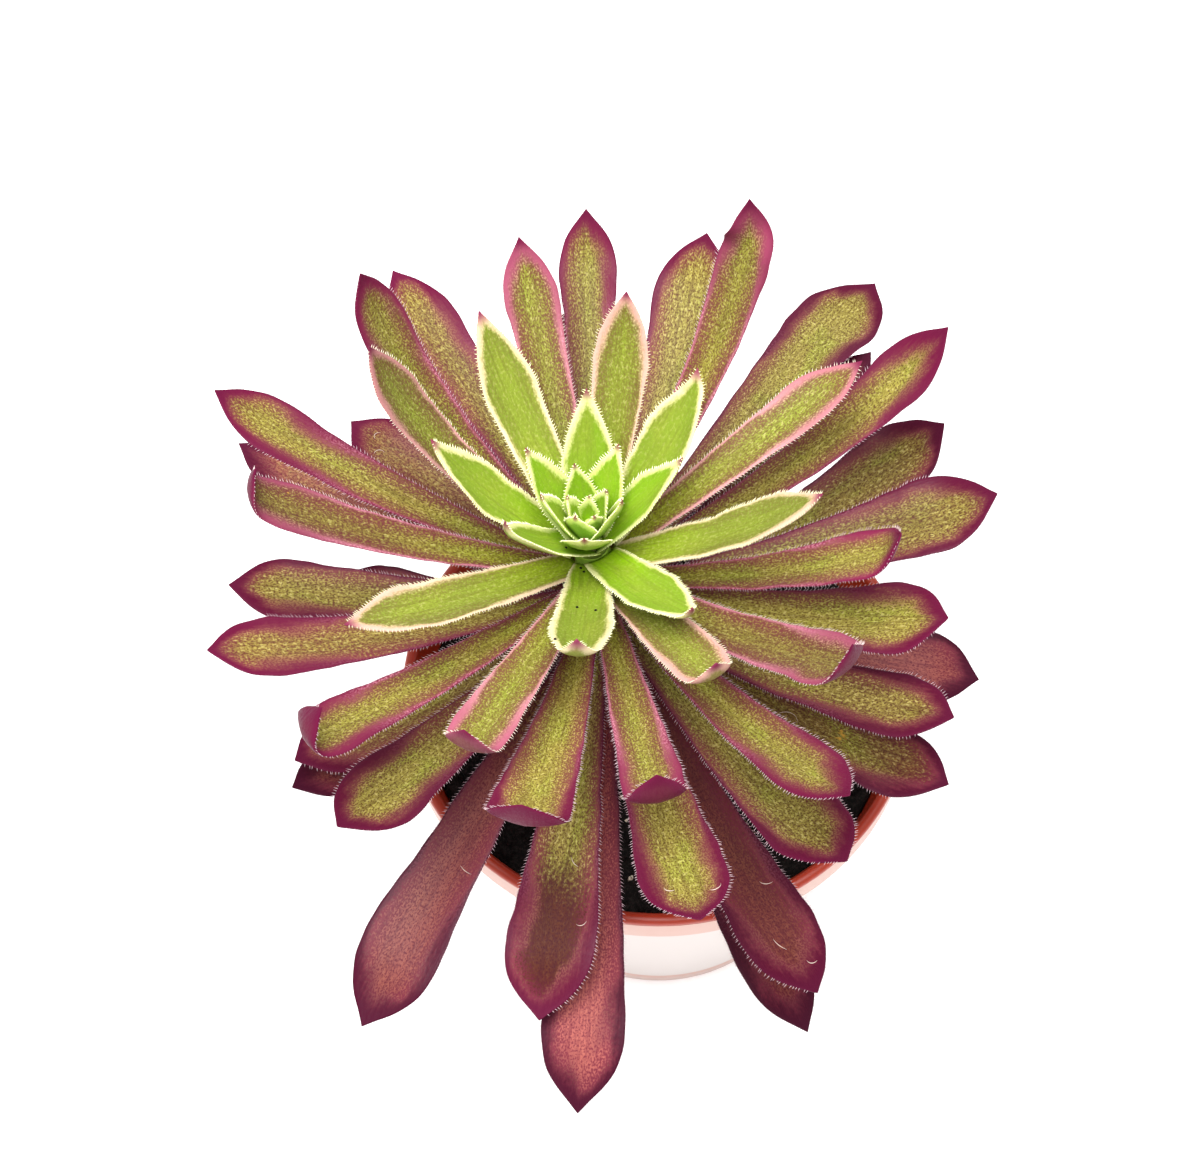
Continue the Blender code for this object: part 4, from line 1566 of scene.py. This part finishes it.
    def fibre_bits(self, draw: random.Random, edge: float) -> bmesh.types.BMesh:
        """Lays short bits of root and straw on the soil.

        Args:
            draw: the soil's random draws.
            edge: the radius of the soil's disc.

        Returns:
            One bmesh with all the bits.
        """
        parts = []
        for _ in range(self.fibres):
            x, y = self.spot(draw, edge - 3 * MM)
            length, radius = draw.uniform(*self.fibre_lengths), draw.uniform(*self.fibre_radii)
            heading = draw.uniform(0, FULL_TURN)
            bend = draw.uniform(-self.fibre_bend, self.fibre_bend)
            bm = bmesh.new()
            bmesh.ops.create_grid(
                bm, x_segments=self.fibre_rows, y_segments=self.fibre_sides, size=1
            )
            for vertex in bm.verts:
                share, turn = vertex.co.x, math.pi * vertex.co.y
                angle = heading + bend * share
                px = x + 0.5 * length * share * math.cos(angle)
                py = y + 0.5 * length * share * math.sin(angle)
                width = radius * (1 - 0.5 * abs(share) ** 3)
                out = width * math.cos(turn)
                vertex.co = (
                    px - out * math.sin(angle),
                    py + out * math.cos(angle),
                    self.height(px, py) + 1.2 * radius + width * math.sin(turn),
                )
            close_skin(bm, self.fibre_sides)
            parts.append(bm)
        return joined(parts)


# --- The pot -----------------------------------------------------------------------------


@dataclass
class Pot:
    """The thin grower's pot: a tapered wall, a collar, a rolled lip and drain holes.

    Edges sharper than the last value, in degrees, stay crisp.
    """

    height: float = 80.0 * MM
    rim_radius: float = 52.5 * MM
    base_radius: float = 35.5 * MM
    wall: float = 1.3 * MM
    collar_height: float = 8.5 * MM
    collar_step: float = 1.2 * MM
    lip_width: float = 2.4 * MM
    lip_depth: float = 2.2 * MM
    foot_band: float = 8.0 * MM
    drain_holes: int = 8
    drain_radius: float = 3.5 * MM
    drain_circle: float = 25.0 * MM
    drain_sides: int = 32
    lip_steps: int = 8
    wall_steps: int = 8
    segments: int = 160
    sharp_from: float = 40.0

    def outer_radius(self, height: float) -> float:
        """Gives the radius of the tapered outer wall at this height."""
        wall_top = self.rim_radius - self.collar_step
        return self.base_radius + (wall_top - self.base_radius) * height / self.height

    def inner_radius(self, height: float) -> float:
        """Gives the radius of the pot's inside at this height."""
        return self.outer_radius(height) - self.wall

    def lip(self, first: int, last: int) -> list[tuple[float, float, float]]:
        """Rounds the rolled lip.

        Args:
            first: the first step of the arc, of which 0 is at the very top.
            last: the last step, counted outwards.

        Returns:
            Points of radius, height and how faded the lip is there.
        """
        centre = self.rim_radius - 0.5 * self.lip_width
        bulge = 0.5 * self.lip_depth
        points = []
        for step in range(first, last + 1):
            angle = math.pi * (0.5 - step / self.lip_steps)
            across = centre + 0.5 * self.lip_width * math.cos(angle)
            points.append((across, self.height - bulge + bulge * math.sin(angle), 0))
        return points

    def outside(self, height: float, faded: float, proud: float = 0) -> tuple[float, float, float]:
        """Gives a point of the outer wall, which stands this far proud of its taper."""
        return self.outer_radius(height) + proud, height, faded

    def outline(self) -> list[tuple[float, float, float]]:
        """Draws the section, from the lip down the outside and up the inside.

        Returns:
            Points of radius, height and how faded the wall is there, where the tan band at the foot is
            partly painted shade.
        """
        collar_foot = self.height - self.collar_height
        lip_foot = self.height - self.lip_depth
        collar_face = self.rim_radius - 0.3 * self.collar_step
        wall_top = collar_foot - 0.6 * MM
        run = wall_top - self.foot_band
        steps = range(1, self.wall_steps + 1)
        heights = [wall_top - run * step / self.wall_steps for step in steps]
        inside = (self.wall, 0.5 * self.height, lip_foot)
        return [
            *self.lip(0, self.lip_steps),
            (collar_face, lip_foot - 0.15 * MM, 0),
            (collar_face, lip_foot - 0.40 * MM, 0.60),
            (collar_face - 0.05 * MM, collar_foot + 0.5 * MM, 0.60),
            (collar_face - 0.20 * MM, collar_foot + 0.1 * MM, 0.55),
            self.outside(collar_foot, 0.62, 0.1 * MM),
            (self.outer_radius(collar_foot), wall_top, 1.0),
            *(self.outside(height, 1.0) for height in heights),
            # The tan band round the foot stands for the base ring, and is partly painted shade where the
            # pot meets the floor.
            self.outside(0.93 * self.foot_band, 0.50),
            self.outside(0.6 * self.foot_band, 0.66),
            self.outside(0.9 * MM, 0.74),
            self.outside(0.3 * MM, 0.35, -0.2 * MM),
            (self.base_radius - 1.0 * MM, 0, 0.30),
            *((self.base_radius * share, 0, 0.2) for share in (0.9, 0.6, 0.3, 0)),
            *((self.base_radius * share, self.wall, 0) for share in (0, 0.3, 0.6, 0.9)),
            *((self.inner_radius(height), height, 0) for height in inside),
            *self.lip(-self.lip_steps // 2, -1),
        ]

    def build(self) -> None:
        """Turns the pot, pierces its drain holes and dresses it."""
        bm = bmesh.new()
        # Each point's value holds the fading, and the painted shade in the band at the foot, for the
        # finish to read.
        layer = bm.verts.layers.float.new("faded")
        verts = []
        for radius, height, faded in self.outline():
            verts.append(bm.verts.new((radius, 0, height)))
            verts[-1][layer] = faded
        spin_outline(bm, verts, self.segments, ring=True)
        finish = [FadedPolypropylene().material()]
        piece = add_piece("growers_pot", bm, finish, "pot")
        self.pierce(piece)

    def pierce(self, piece: bpy.types.Object) -> None:
        """Cuts the ring of drain holes through the base.

        Args:
            piece: the turned pot.
        """
        bm = bmesh.new()
        for hole in range(self.drain_holes):
            angle = FULL_TURN * hole / self.drain_holes
            place = (self.drain_circle * math.cos(angle), self.drain_circle * math.sin(angle), 0)
            bmesh.ops.create_cone(
                bm,
                cap_ends=True,
                segments=self.drain_sides,
                radius1=self.drain_radius,
                radius2=self.drain_radius,
                depth=4 * self.wall,
                matrix=Matrix.Translation(place),
            )
        cutter = set_out("drain_cutter", mesh_from("drain_cutter", bm))
        cut = piece.modifiers.new("Drain", "BOOLEAN")
        cut.operation = "DIFFERENCE"
        cut.object = cutter
        evaluated = piece.evaluated_get(bpy.context.evaluated_depsgraph_get())
        pierced = bpy.data.meshes.new_from_object(evaluated)
        piece.modifiers.clear()
        piece.data = pierced
        pierced.shade_smooth()
        pierced.set_sharp_from_angle(angle=math.radians(self.sharp_from))
        bpy.data.objects.remove(cutter)


# --- The studio --------------------------------------------------------------------------


@dataclass
class Studio:
    """A pale floor, soft light from all round and above, and the camera.

    The camera's elevation, and how far it is turned and tilted, are in degrees, and its lens
    and sensor are in millimetres.
    """

    floor_size: float = 6.0
    world_strength: float = 0.74
    key_energy: float = 23.0
    key_size: float = 0.9
    key_place: tuple[float, float, float] = (-0.08, -0.14, 1.05)
    rim_centre: tuple[float, float, float] = (0, 0, 80.0 * MM)
    distance: float = 0.400
    elevation: float = 61.8
    turned: float = 1.68
    tilted: float = 3.07
    lens: float = 58.5
    sensor: float = 36.0

    def build(self) -> None:
        """Builds the floor, the lights and the camera."""
        self.lay_floor()
        self.light()
        self.place_camera()
        bpy.context.scene.view_settings.view_transform = "Standard"

    def lay_floor(self) -> None:
        """Lays the floor."""
        bm = bmesh.new()
        bmesh.ops.create_grid(bm, x_segments=1, y_segments=1, size=0.5 * self.floor_size)
        mesh = mesh_from("acrylic_floor", bm)
        mesh.materials.append(LitAcrylic().material())
        set_out("acrylic_floor", mesh)

    def light(self) -> None:
        """Sets the bright room and one broad lamp overhead."""
        world = bpy.data.worlds.new("white_room")
        bpy.context.scene.world = world
        world.use_nodes = True
        background = world.node_tree.nodes["Background"]
        background.inputs["Color"].default_value = linear("#ffffff")
        background.inputs["Strength"].default_value = self.world_strength
        lamp = bpy.data.lights.new("soft_box", "AREA")
        lamp.shape = "DISK"
        lamp.size = self.key_size
        lamp.energy = self.key_energy
        stand = set_out("soft_box", lamp)
        stand.location = self.key_place
        aim = Vector(self.rim_centre) - stand.location
        stand.rotation_euler = aim.to_track_quat("-Z", "Y").to_euler()

    def place_camera(self) -> None:
        """Places the camera in front of the pot, looking down, and aims it a little past it."""
        rise = math.radians(self.elevation)
        back = Vector((0, -math.cos(rise), math.sin(rise)))
        right = Vector((1, 0, 0))
        up = back.cross(right)
        turn = Matrix.Rotation(math.radians(self.turned), 3, up)
        forward, right = turn @ -back, turn @ right
        tilt = Matrix.Rotation(math.radians(self.tilted), 3, right)
        forward, up = tilt @ forward, tilt @ up
        data = bpy.data.cameras.new("camera")
        data.lens = self.lens
        data.sensor_width = self.sensor
        camera = set_out("camera", data)
        axes = Matrix((right, up, -forward)).transposed().to_4x4()
        place = Matrix.Translation(Vector(self.rim_centre) + self.distance * back)
        camera.matrix_world = place @ axes
        bpy.context.scene.camera = camera


def main() -> None:
    """Builds the dressed plant, its pot and the studio, and notes the size of what it made."""
    logging.basicConfig(level=logging.INFO, format="%(message)s")
    rule = GrowthRule()
    pot = Pot()
    pot.build()
    Soil().build(pot)
    Stem(rule).build()
    Rosette(rule).build()
    Studio().build()


if __name__ == "__main__":
    main()
